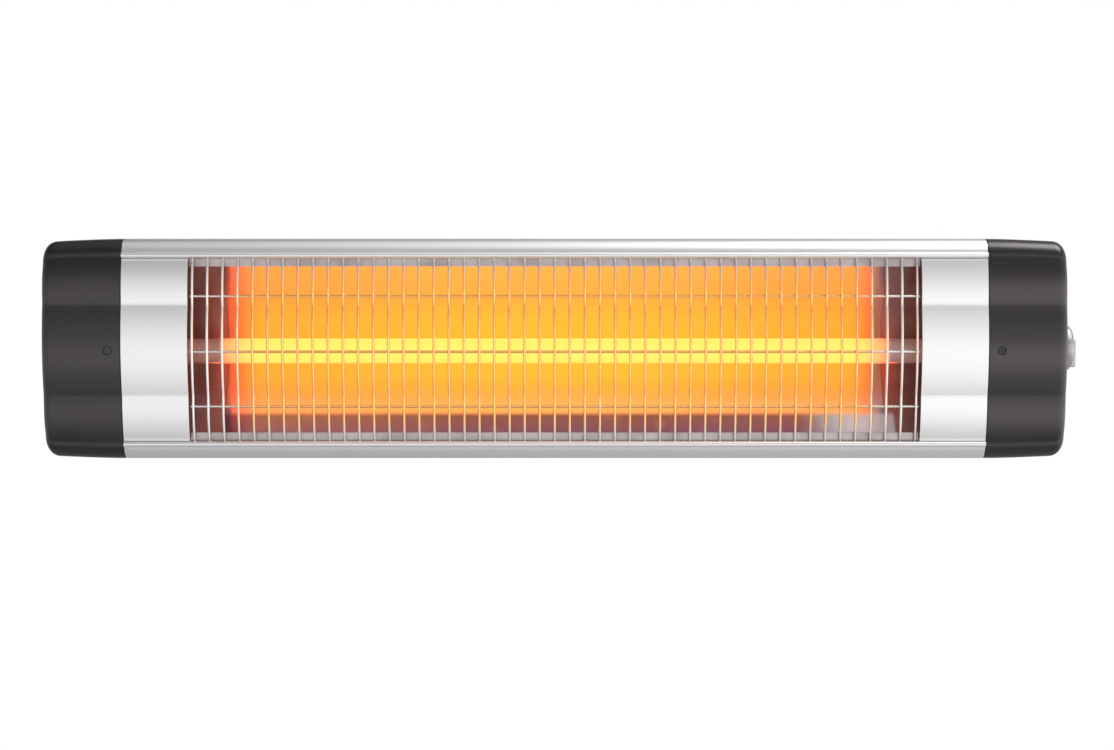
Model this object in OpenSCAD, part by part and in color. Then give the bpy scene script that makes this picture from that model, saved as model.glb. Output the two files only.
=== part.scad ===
// Wall-mounted infrared bar heater on two tilting brackets.
// +X runs along the bar, -Y is the front, +Z is up.
// The origin lies on the wall, at the centre of the wall screws and level with the tilt axis.
// Depths in the casing are measured from the crest of the front, towards the wall.

/* [Casing] */
// Width over both end caps
overall_w = 890; // [700:5:1200]
// Height of the casing
casing_h = 192; // [188:1:210]
// Depth of the casing, crest to back
casing_d = 88; // [84:1:110]
// Gap between the casing's back and the wall
wall_gap = 85; // [70:1:120]
// Width of each end cap on the front
cap_w = 69; // [65:1:90]
// Width of each front cover, between the window and the end cap
cover_w = 58; // [40:1:90]
// Wall of the extruded shell
shell_t = 2; // [1.6:0.1:2.6]
// Height of the flat part of the back
back_h = 120; // [110:1:130]
// Depth at which the flat top ends and the slope to the back starts
slope_start_d = 50; // [44:1:56]

/* [Lobed front] */
// Height between the two creases
crease_span = 80; // [70:1:90]
// Depth of the creases
crease_d = 4.9; // [3.5:0.1:6]
// Depth of the front at the lips
edge_d = 11.3; // [9:0.1:13]
// Bulge of the upper and lower lobes
outer_bulge = 2; // [1:0.1:3]
// Depth of the round shoulders between the lips and the flat top
shoulder_d = 14.7; // [13:0.1:17]
// Radius of the rounded lip beads
bead_r = 2.6; // [2:0.1:3]

/* [Covers and caps] */
// Thickness of the front covers
cover_t = 2; // [1.5:0.1:2.5]
// Wall of the end caps
cap_t = 2.8; // [2:0.1:3.5]
// Thickness of the end gaskets
gasket_t = 1; // [0.5:0.1:1.5]
// Front-view corner radius of the end caps
cap_corner_r = 12; // [8:1:20]
// Radius of the end caps' front edge, seen from above
cap_edge_r = 8; // [6:1:14]
// Drop of the end caps' top edge towards the end
cap_drop = 1.8; // [0:0.1:4]
// Distance of the cap screws from the seam
cap_screw_in = 11; // [9:0.5:14]
// Radius of the cap screws
cap_screw_r = 1.8; // [1.5:0.1:2.5]

/* [Guard] */
// Thickness of the guard wires
wire_t = 2.4; // [2:0.1:3]
// Spacing of the vertical wires
wire_pitch = 13.1; // [9:0.1:16]
// Depth of the wires behind the lobed front
wire_back = 2.2; // [2.2:0.1:3]
// Distance of the upper and lower cross wires from the middle one
cross_wire_z = 48; // [30:1:60]
// How far the cross wires lie below the middle of the window
cross_wire_drop = 1.2; // [0:0.1:2]
// Sheet of the guard rails
rail_t = 1.5; // [1:0.1:1.8]

/* [Lamp] */
// Length of the dark pan at each end of the polished reflector
pan_w = 78; // [30:1:90]
// Height between the reflector's rim and the lip
rim_in = 6.9; // [6.5:0.1:12]
// Depth of the reflector's vertex
reflector_d = 70; // [66:1:74]
// Sheet of the reflector
reflector_t = 0.8; // [0.6:0.1:1]
// Depth of the tube's axis
tube_d = 45.5; // [44:0.5:52]
// Height of the tube's axis
tube_z = -3; // [-6:0.5:6]
// Outer radius of the quartz tube
tube_r = 11; // [9:0.5:12]
// Wall of the quartz tube
tube_t = 1.2; // [1:0.1:1.5]
// Length of the tube that doesn't glow, at each end
cold_w = 49; // [20:0.5:60]
// Radius of the glowing element
element_r = 5; // [3:0.5:6]

/* [Switch] */
// Radius of the knob's skirt
knob_r = 19.75; // [16:0.25:22]
// How far the knob stands out of the end cap
knob_out = 14.8; // [13:0.1:18]
// Radius of the switch shaft
shaft_r = 3; // [2.5:0.1:4]
// Depth of the knob's axis
knob_d = 44; // [40:1:48]

/* [Wall brackets] */
// Distance of the middle of each bracket from the end cap
bracket_in = 126; // [60:2:200]
// Distance between the two screws of a wall bracket
screw_span = 60; // [56:1:80]
// Radius of the wall screw holes
screw_hole_r = 2.75; // [2.25:0.25:3.5]
// Thickness of the bracket steel
steel_t = 3; // [2:0.5:4]
// Distance of the tilt axis from the wall
pivot_out = 58; // [50:1:62]
// Radius of the pivot bolts
pivot_r = 4; // [3:0.5:5]

/* [Cable gland] */
// Radius of the gland's cable bore
gland_bore_r = 4; // [3:0.25:5]
// Radius of the gland's thread
gland_thread_r = 8; // [7:0.5:9]

/* [Hidden] */

silver = [0.80, 0.80, 0.81];
polished = [0.90, 0.89, 0.87];
charcoal = [0.22, 0.21, 0.22];
scorched = [0.33, 0.26, 0.25];
zinc = [0.62, 0.63, 0.65];
brass = [0.80, 0.65, 0.35];
ceramic = [0.93, 0.91, 0.86];
glow = [1.0, 0.78, 0.25];

// Clearance between pieces that sit in or against each other
fit_gap = 0.3;
// Clearance of a turning shaft, or of a shank in its hole
run_gap = 0.05;
// Clearance under a head, a nut or a pad that is screwed down
head_gap = 0.1;
// How far a cut runs past the face that it opens
cut = 1;
// Steps along each lobe, shoulder and corner
arc_steps = 10;

front_y = -(wall_gap + casing_d);
half_h = casing_h/2;
half_w = overall_w/2;
half_back = back_h/2;
crease_z = crease_span/2;
seam_x = half_w - cap_w;
half_window = seam_x - cover_w;
shoulder_top_d = edge_d + shoulder_d;
edge_z = half_h - shoulder_d + 0.2;
shell_end_x = seam_x - gasket_t/2;

function unit(v) = v/norm(v);
function reversed(list) = [for (i = [len(list) - 1:-1:0]) list[i]];
function flipped(list) = [for (p = reversed(list)) [p[0], -p[1]]];

// Points of an arc from p0 to p1 that bulges to the left of its chord
function arc_points(p0, p1, bulge, steps = arc_steps) =
    let(chord = norm(p1 - p0), along = unit(p1 - p0), out = [-along[1], along[0]],
        r = (chord*chord/4 + bulge*bulge)/(2*bulge), centre = (p0 + p1)/2 - out*(r - bulge),
        half = asin(chord/(2*r)))
    [for (i = [0:steps]) let(a = -half + 2*half*i/steps) centre + r*(cos(a)*out + sin(a)*along)];

// Lobed front from the bottom lip to the top one, as [depth, height], moved back by inset
function lobed_front(inset) =
    let(crease = [crease_d + inset, crease_z], lip = [edge_d + inset, edge_z],
        upper = arc_points(crease, lip, outer_bulge),
        middle = arc_points([crease[0], -crease_z], crease, crease_d))
    concat(flipped(upper), [for (i = [1:len(middle) - 2]) middle[i]], upper);

// Outline of the casing, drawn in by inset on all sides
function upper_body(inset) =
    let(top_z = half_h - inset, slope = atan2(half_h - half_back, casing_d - slope_start_d),
        shoulder = arc_points([edge_d + inset, edge_z], [shoulder_top_d, top_z],
            (shoulder_d - inset)*(1 - sqrt(0.5))))
    concat([for (i = [1:len(shoulder) - 1]) shoulder[i]],
        [[slope_start_d - inset*tan(slope/2), top_z],
         [casing_d - inset, half_back - inset*tan(45 - slope/2)]]);
function casing_outline(inset) = concat(lobed_front(inset), upper_body(inset), flipped(upper_body(inset)));

// A point of the reflector's parabola at a height, moved back by t, for a focal length f
function bowl_point(z, t, f) = [reflector_d - z*z/(4*f), z] + t*unit([1, z/(2*f)]);

// Draws a flat [depth, height] shape at the casing and extends it along X
module along_bar(x0, x1)
    translate([x0, front_y, 0])
        rotate([90, 0, 90])
            linear_extrude(x1 - x0)
                children();

// Draws a part of the right-hand end on the left-hand end
module on_end(side)
    if (side > 0)
        children();
    else
        mirror([1, 0, 0])
            children();

module tube_x(r, x0, x1, bore = 0)
    translate([x0, 0, 0])
        rotate([0, 90, 0])
            difference() {
                cylinder(r = r, h = x1 - x0, $fn = 64);
                if (bore > 0)
                    translate([0, 0, -cut])
                        cylinder(r = bore, h = x1 - x0 + 2*cut, $fn = 64);
            }

module rod_y(r, y0, y1)
    translate([0, y1, 0])
        rotate([90, 0, 0])
            cylinder(r = r, h = y1 - y0, $fn = 48);

module hex_x(across, x0, x1, bore = 0)
    translate([x0, 0, 0])
        rotate([0, 90, 0])
            difference() {
                cylinder(r = across/sqrt(3), h = x1 - x0, $fn = 6);
                if (bore > 0)
                    translate([0, 0, -cut])
                        cylinder(r = bore, h = x1 - x0 + 2*cut, $fn = 48);
            }

// ---------- wall brackets ----------
plate_w = 46;
plate_margin = 18;
plate_h = screw_span + 2*plate_margin;
ear_r = 15;
bracket_x = seam_x - bracket_in;
arm_ear_x = plate_w/2 - steel_t - fit_gap;

module ear(x0, y_root, y_tip, r)
    difference() {
        union() {
            translate([x0, min(y_root, y_tip), -r])
                cube([steel_t, abs(y_tip - y_root), 2*r]);
            translate([0, y_tip, 0])
                tube_x(r, x0, x0 + steel_t);
        }
        translate([0, -pivot_out, 0])
            tube_x(pivot_r + run_gap, x0 - cut, x0 + steel_t + cut);
    }

module wall_plate()
    color(zinc)
        difference() {
            union() {
                translate([-plate_w/2, -steel_t, -plate_h/2])
                    cube([plate_w, steel_t, plate_h]);
                for (x = [-plate_w/2, plate_w/2 - steel_t])
                    ear(x, -steel_t/2, -pivot_out, ear_r);
            }
            for (z = [-screw_span/2, screw_span/2])
                translate([0, 0, z])
                    rod_y(screw_hole_r, -steel_t - cut, cut);
        }
module wall_plate_left()
    translate([-bracket_x, 0, 0])
        wall_plate();
module wall_plate_right()
    translate([bracket_x, 0, 0])
        wall_plate();

arm_foot_h = 90;
arm_bolt_z = 34;
arm_bolt_r = 3;
arm_bolt_tail = 8;
arm_head_r = 7;
arm_head_h = 2.5;
arm_nut_hex = 10;
arm_nut_h = 4.9;
module tilt_arm()
    color(zinc)
        difference() {
            union() {
                translate([-arm_ear_x, -wall_gap + fit_gap, -arm_foot_h/2])
                    cube([2*arm_ear_x, steel_t, arm_foot_h]);
                for (x = [-arm_ear_x, arm_ear_x - steel_t])
                    ear(x, -wall_gap + fit_gap + steel_t/2, -pivot_out, ear_r);
            }
            for (z = [-arm_bolt_z, arm_bolt_z])
                translate([0, 0, z])
                    rod_y(arm_bolt_r + fit_gap, -wall_gap - cut, -wall_gap + steel_t + 2*cut);
        }
module tilt_arm_left()
    translate([-bracket_x, 0, 0])
        tilt_arm();
module tilt_arm_right()
    translate([bracket_x, 0, 0])
        tilt_arm();

washer_t = 1.6;
washer_r = 2*pivot_r;
bolt_hex = 3.25*pivot_r;
bolt_head_h = 5;
bolt_tail = 9;
pivot_nut_h = 6.7;
bolt_reach = plate_w/2 + fit_gap;
bolt_seat = bolt_reach + washer_t + fit_gap;
module at_pivots()
    for (x = [-bracket_x, bracket_x])
        translate([x, -pivot_out, 0])
            children();
module pivot_bolts()
    color(zinc)
        at_pivots()
            union() {
                tube_x(pivot_r, -bolt_seat, bolt_reach + washer_t + bolt_tail);
                hex_x(bolt_hex, -bolt_seat - bolt_head_h, -bolt_seat);
            }
module pivot_washers()
    color(zinc)
        at_pivots() {
            tube_x(washer_r, -bolt_reach - washer_t, -bolt_reach, pivot_r + run_gap);
            tube_x(washer_r, bolt_reach, bolt_reach + washer_t, pivot_r + run_gap);
        }
module pivot_nuts()
    color(zinc)
        at_pivots()
            hex_x(bolt_hex, bolt_seat, bolt_seat + pivot_nut_h, pivot_r + run_gap);

module at_arm_bolts()
    for (x = [-bracket_x, bracket_x], z = [-arm_bolt_z, arm_bolt_z])
        translate([x, -wall_gap, z])
            children();
module arm_bolts()
    color(zinc)
        at_arm_bolts()
            union() {
                rod_y(arm_bolt_r, -shell_t - fit_gap, steel_t + arm_bolt_tail);
                rod_y(arm_head_r, -shell_t - fit_gap - arm_head_h, -shell_t - fit_gap);
            }
module arm_nuts()
    color(zinc)
        at_arm_bolts()
            translate([0, steel_t + 2*fit_gap, 0])
                rotate([0, 0, 90])
                    hex_x(arm_nut_hex, 0, arm_nut_h, arm_bolt_r + run_gap);

// ---------- casing ----------
ledge_d = 17.8;
ledge_t = 2;
ledge_z = edge_z - 3;
ledge_h = 14.5;
bead_in = 0.7;
lip_z = edge_z + 0.7;
window_z = lip_z - bead_r;
// Height at which the back panel meets the profiles, and the tongue that it lies on
panel_z = half_back - 5;
tongue_h = 6;
tongue_root = 1;
tongue_end = 1;
module casing_profile()
    color(silver)
        union() {
            along_bar(-shell_end_x, shell_end_x)
                intersection() {
                    difference() {
                        polygon(casing_outline(0));
                        polygon(casing_outline(shell_t));
                    }
                    polygon([[edge_d + shell_t, panel_z], [casing_d + cut, panel_z],
                        [casing_d + cut, half_h + cut], [-cut, half_h + cut],
                        [-cut, window_z], [edge_d + shell_t, window_z]]);
                }
            along_bar(-shell_end_x, shell_end_x)
                translate([edge_d - bead_in, lip_z])
                    circle(r = bead_r, $fn = 32);
            along_bar(-shell_end_x, shell_end_x)
                translate([ledge_d, ledge_z])
                    square([ledge_t, ledge_h]);
            along_bar(tongue_end - bulkhead_x, bulkhead_x - tongue_end)
                polygon([[casing_d - 2*shell_t, panel_z - tongue_h],
                    [casing_d - shell_t, panel_z - tongue_h], [casing_d - shell_t, panel_z + tongue_root],
                    [casing_d - shell_t/2, panel_z + tongue_root],
                    [casing_d - shell_t/2, panel_z + 2*tongue_root],
                    [casing_d - 2*shell_t, panel_z + 2*tongue_root]]);
        }
module casing_top()
    casing_profile();
module casing_bottom()
    mirror([0, 0, 1])
        casing_profile();
module casing_back()
    color(silver)
        difference() {
            translate([-shell_end_x, -wall_gap - shell_t, -panel_z])
                cube([2*shell_end_x, shell_t, 2*panel_z]);
            at_arm_bolts()
                rod_y(arm_bolt_r + fit_gap, -shell_t - cut, cut);
            at_rivets()
                rod_y(rivet_r, -shell_t - cut, cut);
        }

cover_z = window_z - fit_gap;
// Depth at which the returns of a cover's upper and lower edge start
cover_return_d = edge_d + 0.2;
module front_cover()
    color(silver)
        union() {
            intersection() {
                along_bar(half_window, shell_end_x)
                    polygon(concat(lobed_front(0), reversed(lobed_front(cover_t))));
                translate([half_window, front_y - cut, -cover_z])
                    cube([cap_w + shell_end_x, casing_d, 2*cover_z]);
            }
            for (side = [-1, 1])
                translate([half_window, front_y + cover_return_d, side > 0 ? cover_z - cover_t : -cover_z])
                    cube([shell_end_x - half_window, ledge_d - fit_gap - cover_return_d, cover_t]);
        }
module front_cover_left()
    on_end(-1)
        front_cover();
module front_cover_right()
    on_end(1)
        front_cover();

// ---------- end caps ----------
cap_x0 = seam_x + gasket_t/2;
cap_screw_x = seam_x + cap_screw_in;
rear_screw_z = 45;
boss_r = cap_screw_r + 2.5;
cap_head_r = 2*cap_screw_r;
cap_head_sink = 1.5;
cap_head_in = 0.4;
rear_head_h = 1.9;
screw_root = 0.5;
gasket_in = 0.4;
tab_front_d = 5.6;
tab_t = 1.5;
tab_rear_d = casing_d - cap_t - fit_gap - tab_t;

// Points along the dropping top edge, as parts of the cap's width and of the whole drop
cap_top_points = [[0.17, 0.1], [0.47, 0.5]];
// Angle that the corner turns through, from the upright end to the dropping top edge
cap_corner_turn = 84;
// Front view of an end cap, drawn in by inset
function cap_face(inset) =
    let(end_x = half_w - inset, r = cap_corner_r - inset, top_z = half_h - inset,
        corner_z = top_z - cap_drop - r,
        edge = [for (p = cap_top_points) [cap_x0 + p[0]*cap_w, top_z - p[1]*cap_drop]],
        corner = [for (i = [0:arc_steps]) let(a = cap_corner_turn*(1 - i/arc_steps))
            [end_x - r + r*cos(a), corner_z + r*sin(a)]],
        upper = concat([[seam_x - cut, top_z]], edge, corner))
    concat(upper, flipped(upper));
// Plan of an end cap, as [width, depth]
function cap_plan(inset) =
    let(end_x = half_w - inset, r = cap_edge_r - inset, back = casing_d - inset)
    concat([[seam_x - cut, inset]],
        [for (i = [0:arc_steps]) let(a = 90*i/arc_steps) [end_x - r + r*sin(a), inset + r - r*cos(a)]],
        [for (i = [0:arc_steps]) let(a = 90*i/arc_steps) [end_x - r + r*cos(a), back - r + r*sin(a)]],
        [[seam_x - cut, back]]);
module cap_volume(inset, x0)
    intersection() {
        along_bar(x0, half_w)
            polygon(casing_outline(inset));
        translate([0, front_y + casing_d + cut, 0])
            rotate([90, 0, 0])
                linear_extrude(casing_d + 2*cut)
                    polygon(cap_face(inset));
        translate([0, front_y, -half_h - cut])
            linear_extrude(casing_h + 2*cut)
                polygon(cap_plan(inset));
    }
module at_front_screw()
    translate([cap_screw_x, front_y, 0])
        children();
module at_rear_screws()
    for (z = [-rear_screw_z, rear_screw_z])
        translate([cap_screw_x, front_y + casing_d, z])
            children();
module end_cap_shell()
    difference() {
        union() {
            difference() {
                cap_volume(0, cap_x0);
                cap_volume(cap_t, cap_x0 - cut);
            }
            at_front_screw()
                rod_y(boss_r, cap_t/2, tab_front_d - fit_gap);
        }
        at_front_screw()
            rod_y(cap_screw_r + fit_gap, -cut, tab_front_d + cut);
        at_front_screw()
            rod_y(cap_head_r + fit_gap, -cut, cap_head_sink);
        at_rear_screws()
            rod_y(cap_screw_r + fit_gap, -cap_t - cut, cut);
    }
module end_cap_left()
    color(charcoal)
        on_end(-1)
            end_cap_shell();
module end_cap_right()
    color(charcoal)
        difference() {
            end_cap_shell();
            at_knob()
                tube_x(bush_r + fit_gap, half_w - cap_t - cut, half_w + cut);
            at_gland()
                rod_y(gland_thread_r + fit_gap, -cap_t - cut, cut);
        }
module end_gasket()
    color([0.08, 0.08, 0.08])
        along_bar(shell_end_x, cap_x0)
            difference() {
                polygon(casing_outline(gasket_in));
                polygon(casing_outline(shell_t));
            }
module end_gasket_left()
    on_end(-1)
        end_gasket();
module end_gasket_right()
    on_end(1)
        end_gasket();

module cap_screws_front()
    color([0.12, 0.12, 0.12])
        for (side = [-1, 1])
            on_end(side)
                at_front_screw()
                    union() {
                        rod_y(cap_head_r, cap_head_in, cap_head_sink - head_gap);
                        rod_y(cap_screw_r, cap_head_sink/2, tab_front_d + tab_t + 2*cap_screw_r);
                    }
module cap_screws_rear()
    color([0.12, 0.12, 0.12])
        for (side = [-1, 1])
            on_end(side)
                at_rear_screws()
                    union() {
                        rod_y(cap_head_r, head_gap, rear_head_h);
                        rod_y(cap_screw_r, tab_rear_d - casing_d - 2*cap_screw_r, screw_root);
                    }

// ---------- guard ----------
rail_d = 16.1;
rail_top_z = edge_z + 6.5;
rail_h = 15.5;
wire_leg_z = edge_z + 2.4;
wire_leg_d0 = edge_d + wire_back + 1;
wire_leg_d1 = ledge_d - 0.1;
wire_lip_gap = 0.1;
cross_wire_gap = 0.4;
// Least distance of a wire from the end of the window
wire_end_gap = 3.5;
wires_per_side = floor((half_window - wire_end_gap)/wire_pitch);
half_guard = wires_per_side*wire_pitch;
module at_wires()
    for (i = [-wires_per_side:wires_per_side])
        translate([i*wire_pitch, 0, 0])
            children();
module guard_wires()
    color(zinc)
        at_wires()
            union() {
                along_bar(-wire_t/2, wire_t/2)
                    polygon(concat(wire_line(wire_back), reversed(wire_line(wire_back + wire_t))));
                for (side = [-1, 1])
                    translate([-wire_t/2, front_y + wire_leg_d0, side*wire_leg_z - wire_t/2])
                        cube([wire_t, wire_leg_d1 - wire_leg_d0, wire_t]);
            }
// Lobed line of a wire that runs on straight behind the lip to its leg
function wire_line(back) =
    let(leg_d = edge_d + back + wire_lip_gap)
    concat([[leg_d, -wire_leg_z]], lobed_front(back), [[leg_d, wire_leg_z]]);
module guard_cross_wires()
    color(zinc)
        for (z = [-cross_wire_z, 0, cross_wire_z])
            translate([0, front_y + lobe_depth(z) + wire_back + 1.5*wire_t + cross_wire_gap,
                z - cross_wire_drop])
                tube_x(wire_t/2, -half_guard - wire_t, half_guard + wire_t);
function lobe_depth(z) = z == 0 ? 0 : crease_d;
module guard_rail(side)
    color(silver)
        difference() {
            along_bar(fit_gap - half_window, half_window - fit_gap)
                translate([rail_d, side > 0 ? rail_top_z - rail_h : -rail_top_z])
                    square([rail_t, rail_h]);
            at_wires()
                translate([0, front_y + rail_d + rail_t/2, side*wire_leg_z])
                    cube([wire_t + fit_gap, rail_t + cut, wire_t + fit_gap], center = true);
        }
module guard_rail_top()
    guard_rail(1);
module guard_rail_bottom()
    guard_rail(-1);

// ---------- reflector and lamp ----------
flange_d = ledge_d + ledge_t + fit_gap;
flange_h = 11;
bulkhead_x = seam_x - 6;
bulkhead_t = 1.5;
pan_x = bulkhead_x - fit_gap - pan_w;
rim_z = edge_z - rim_in;
rim_d = flange_d + reflector_t/4;
bowl_f = rim_z*rim_z/(4*(reflector_d - rim_d));
bowl_steps = 24;
module bowl(x0, x1, t)
    union() {
        along_bar(x0, x1)
            polygon(concat(
                [for (i = [-bowl_steps:bowl_steps]) bowl_point(rim_z*i/bowl_steps, 0, bowl_f)],
                [for (i = [bowl_steps:-1:-bowl_steps]) bowl_point(rim_z*i/bowl_steps, t, bowl_f)]));
        for (side = [-1, 1])
            translate([x0, front_y + flange_d, side > 0 ? rim_z : -rim_z - flange_h])
                cube([x1 - x0, t, flange_h]);
    }
module reflector()
    color(polished)
        bowl(fit_gap - pan_x, pan_x - fit_gap, reflector_t);
module reflector_end(side)
    color(scorched)
        on_end(side)
            bowl(pan_x, pan_x + pan_w, reflector_t);
module reflector_end_left()
    reflector_end(-1);
module reflector_end_right()
    reflector_end(1);

socket_x1 = bulkhead_x - 4;
socket_room = 24;
tube_end_x = socket_x1 - socket_room;
socket_grip = 16;
socket_x0 = tube_end_x - socket_grip;
socket_r = tube_r + 3.5;
element_x = tube_end_x - cold_w;
pin_r = 1;
pin_x = socket_x1 + 2;
module on_tube_axis()
    translate([0, front_y + tube_d, tube_z])
        children();
module quartz_tube()
    color([0.95, 0.85, 0.7, 0.5])
        on_tube_axis()
            tube_x(tube_r, -tube_end_x, tube_end_x, tube_r - tube_t);
module heating_element()
    color(glow)
        on_tube_axis()
            union() {
                tube_x(element_r, -element_x, element_x);
                tube_x(pin_r, -pin_x, pin_x);
            }
module tube_socket(side)
    color(ceramic)
        on_end(side)
            on_tube_axis()
                difference() {
                    tube_x(socket_r, socket_x0, socket_x1);
                    tube_x(tube_r + fit_gap, socket_x0 - cut, tube_end_x + fit_gap);
                    tube_x(pin_r + fit_gap, tube_end_x, socket_x1 + cut);
                }
module tube_socket_left()
    tube_socket(-1);
module tube_socket_right()
    tube_socket(1);

holder_in = 6;
holder_x0 = socket_x0 + holder_in;
holder_wall = 1.5;
holder_r = socket_r + fit_gap + holder_wall;
holder_t = 1.5;
holder_w = 18;
holder_hole_r = socket_r - 4;
holder_screw_z = 26;
holder_screw_r = 2;
holder_margin = 6;
holder_screw_gap = 0.2;
holder_screw_tail = 4;
holder_head_r = 1.75*holder_screw_r;
holder_head_h = 2;
holder_seat = bulkhead_x - holder_t - fit_gap - holder_screw_gap;
module lamp_holder(side)
    color(zinc)
        on_end(side)
            on_tube_axis()
                difference() {
                    union() {
                        tube_x(holder_r, holder_x0, bulkhead_x - fit_gap);
                        translate([bulkhead_x - holder_t - fit_gap, -holder_w/2,
                            -holder_screw_z - holder_margin])
                            cube([holder_t, holder_w, 2*(holder_screw_z + holder_margin)]);
                    }
                    tube_x(socket_r + fit_gap, holder_x0 - cut, socket_x1 + fit_gap);
                    tube_x(holder_hole_r, socket_x1, bulkhead_x + cut);
                    for (z = [-holder_screw_z, holder_screw_z])
                        translate([0, 0, z])
                            tube_x(holder_screw_r + holder_screw_gap, bulkhead_x - holder_t - cut,
                                bulkhead_x + cut);
                }
module lamp_holder_left()
    lamp_holder(-1);
module lamp_holder_right()
    lamp_holder(1);
module holder_screws()
    color(zinc)
        for (side = [-1, 1], z = [-holder_screw_z, holder_screw_z])
            on_end(side)
                on_tube_axis()
                    translate([0, 0, z])
                        union() {
                            tube_x(holder_screw_r, holder_seat - holder_head_h,
                                bulkhead_x + bulkhead_t + holder_screw_tail);
                            tube_x(holder_head_r, holder_seat - holder_head_h, holder_seat);
                        }

// ---------- bulkheads ----------
rivet_r = 2;
rivet_z = 40;
rivet_in = 8;
rivet_head_r = 1.8*rivet_r;
rivet_head_h = 1.2;
rivet_tail_r = 1.6*rivet_r;
rivet_tail_h = 1.4;
rivet_core = 0.5;
// Thickness of the sheets that a rivet holds together
rivet_grip = shell_t + fit_gap + tab_t;
front_tab_h = 16;
rear_tab_h = 14;
tab_over = 6;
lead_hole_r = 2.6;
module at_rivets()
    for (x = [-1, 1], z = [-rivet_z, rivet_z])
        translate([x*(bulkhead_x - rivet_in), -wall_gap, z])
            children();
module bulkhead_hole(r)
    tube_x(r, bulkhead_x - cut, bulkhead_x + bulkhead_t + cut);
module bulkhead(side)
    color(zinc)
        on_end(side)
            difference() {
                union() {
                    along_bar(bulkhead_x, bulkhead_x + bulkhead_t)
                        intersection() {
                            polygon(casing_outline(shell_t + fit_gap));
                            translate([flange_d, -half_h])
                                square([casing_d, casing_h]);
                        }
                    translate([bulkhead_x, front_y + tab_front_d, -front_tab_h/2])
                        cube([bulkhead_t, flange_d, front_tab_h]);
                    translate([bulkhead_x, front_y + tab_front_d, -front_tab_h/2])
                        cube([cap_screw_x + tab_over - bulkhead_x, tab_t, front_tab_h]);
                    for (z = [-rear_screw_z, rear_screw_z])
                        translate([bulkhead_x, front_y + tab_rear_d, z - rear_tab_h/2])
                            cube([cap_screw_x + tab_over - bulkhead_x, tab_t, rear_tab_h]);
                    for (z = [-rivet_z, rivet_z])
                        translate([bulkhead_x - rivet_in - tab_over, -wall_gap - rivet_grip,
                            z - rear_tab_h/2])
                            cube([rivet_in + tab_over + bulkhead_t, tab_t, rear_tab_h]);
                }
                at_front_screw()
                    rod_y(cap_screw_r + run_gap, tab_front_d - cut, tab_front_d + tab_t + cut);
                at_rear_screws()
                    translate([0, tab_rear_d - casing_d, 0])
                        rod_y(cap_screw_r + run_gap, -cut, tab_t + cut);
                at_rivets()
                    rod_y(rivet_r, -rivet_grip - cut, cut);
                on_tube_axis() {
                    bulkhead_hole(holder_hole_r);
                    for (z = [-holder_screw_z, holder_screw_z])
                        translate([0, 0, z])
                            bulkhead_hole(holder_screw_r + run_gap);
                }
                for (p = lead_holes)
                    translate([0, front_y + p[0], p[1]])
                        bulkhead_hole(lead_hole_r);
            }
lead_hole_z = 14;
lead_hole_d = (reflector_d + reflector_t + casing_d - shell_t)/2;
lead_holes = [for (z = [lead_hole_z, -lead_hole_z]) [lead_hole_d, z]];
module bulkhead_left()
    bulkhead(-1);
module bulkhead_right()
    bulkhead(1);
module bulkhead_rivets()
    color(zinc)
        at_rivets()
            union() {
                rod_y(rivet_r - run_gap, -rivet_grip - rivet_core, rivet_core);
                rod_y(rivet_head_r, head_gap, rivet_head_h);
                rod_y(rivet_tail_r, -rivet_grip - rivet_tail_h, -rivet_grip - head_gap);
            }

// ---------- switch ----------
bush_r = 5;
switch_size = 28;
switch_x1 = half_w - cap_t - fit_gap;
switch_l = 22;
switch_x0 = switch_x1 - switch_l;
bush_out = 1;
pad_r = 13.5;
pad_bore_r = 8;
pad_t = 3;
nut_hex = 12;
nut_t = 2.4;
nut_x0 = half_w + head_gap;
// Rounded skirt of the knob, the step on it and the recess over the nut
skirt_t = 5;
step_in = 2;
step_t = 2;
recess_r = bush_r + 3;
recess_t = 2;
knob_x0 = half_w + pad_t + fit_gap;
bush_x1 = half_w + pad_t + bush_out;
shaft_x0 = switch_x1 - 13;
shaft_x1 = half_w + knob_out - 4;
shaft_room = 0.2;
grip_w = 9;
grip_up = 7.5;
grip_down = 17.5;
module at_knob()
    translate([0, front_y + knob_d, 0])
        children();
module switch_body()
    color([0.15, 0.15, 0.16])
        at_knob()
            difference() {
                union() {
                    translate([switch_x0, -switch_size/2, -switch_size/2])
                        cube([switch_x1 - switch_x0, switch_size, switch_size]);
                    tube_x(bush_r, switch_x1 - cut, bush_x1);
                }
                tube_x(shaft_r + run_gap, shaft_x0 - shaft_room, bush_x1 + cut);
            }
module switch_nut()
    color(brass)
        at_knob()
            hex_x(nut_hex, nut_x0, nut_x0 + nut_t, bush_r + run_gap);
module knob_pad()
    color(charcoal)
        at_knob()
            tube_x(pad_r, nut_x0, half_w + pad_t, pad_bore_r);
module switch_shaft()
    color(zinc)
        at_knob()
            tube_x(shaft_r, shaft_x0, shaft_x1);
module switch_knob()
    color(silver)
        at_knob()
            difference() {
                union() {
                    tube_x(knob_r, knob_x0, knob_x0 + skirt_t);
                    tube_x(knob_r - step_in, knob_x0 + skirt_t - cut, knob_x0 + skirt_t + step_t);
                    translate([knob_x0, -grip_w/2, -grip_down])
                        cube([half_w + knob_out - knob_x0, grip_w, grip_up + grip_down]);
                }
                tube_x(recess_r, knob_x0 - cut, knob_x0 + recess_t);
                tube_x(shaft_r + run_gap, knob_x0, shaft_x1 + shaft_room);
            }

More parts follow.
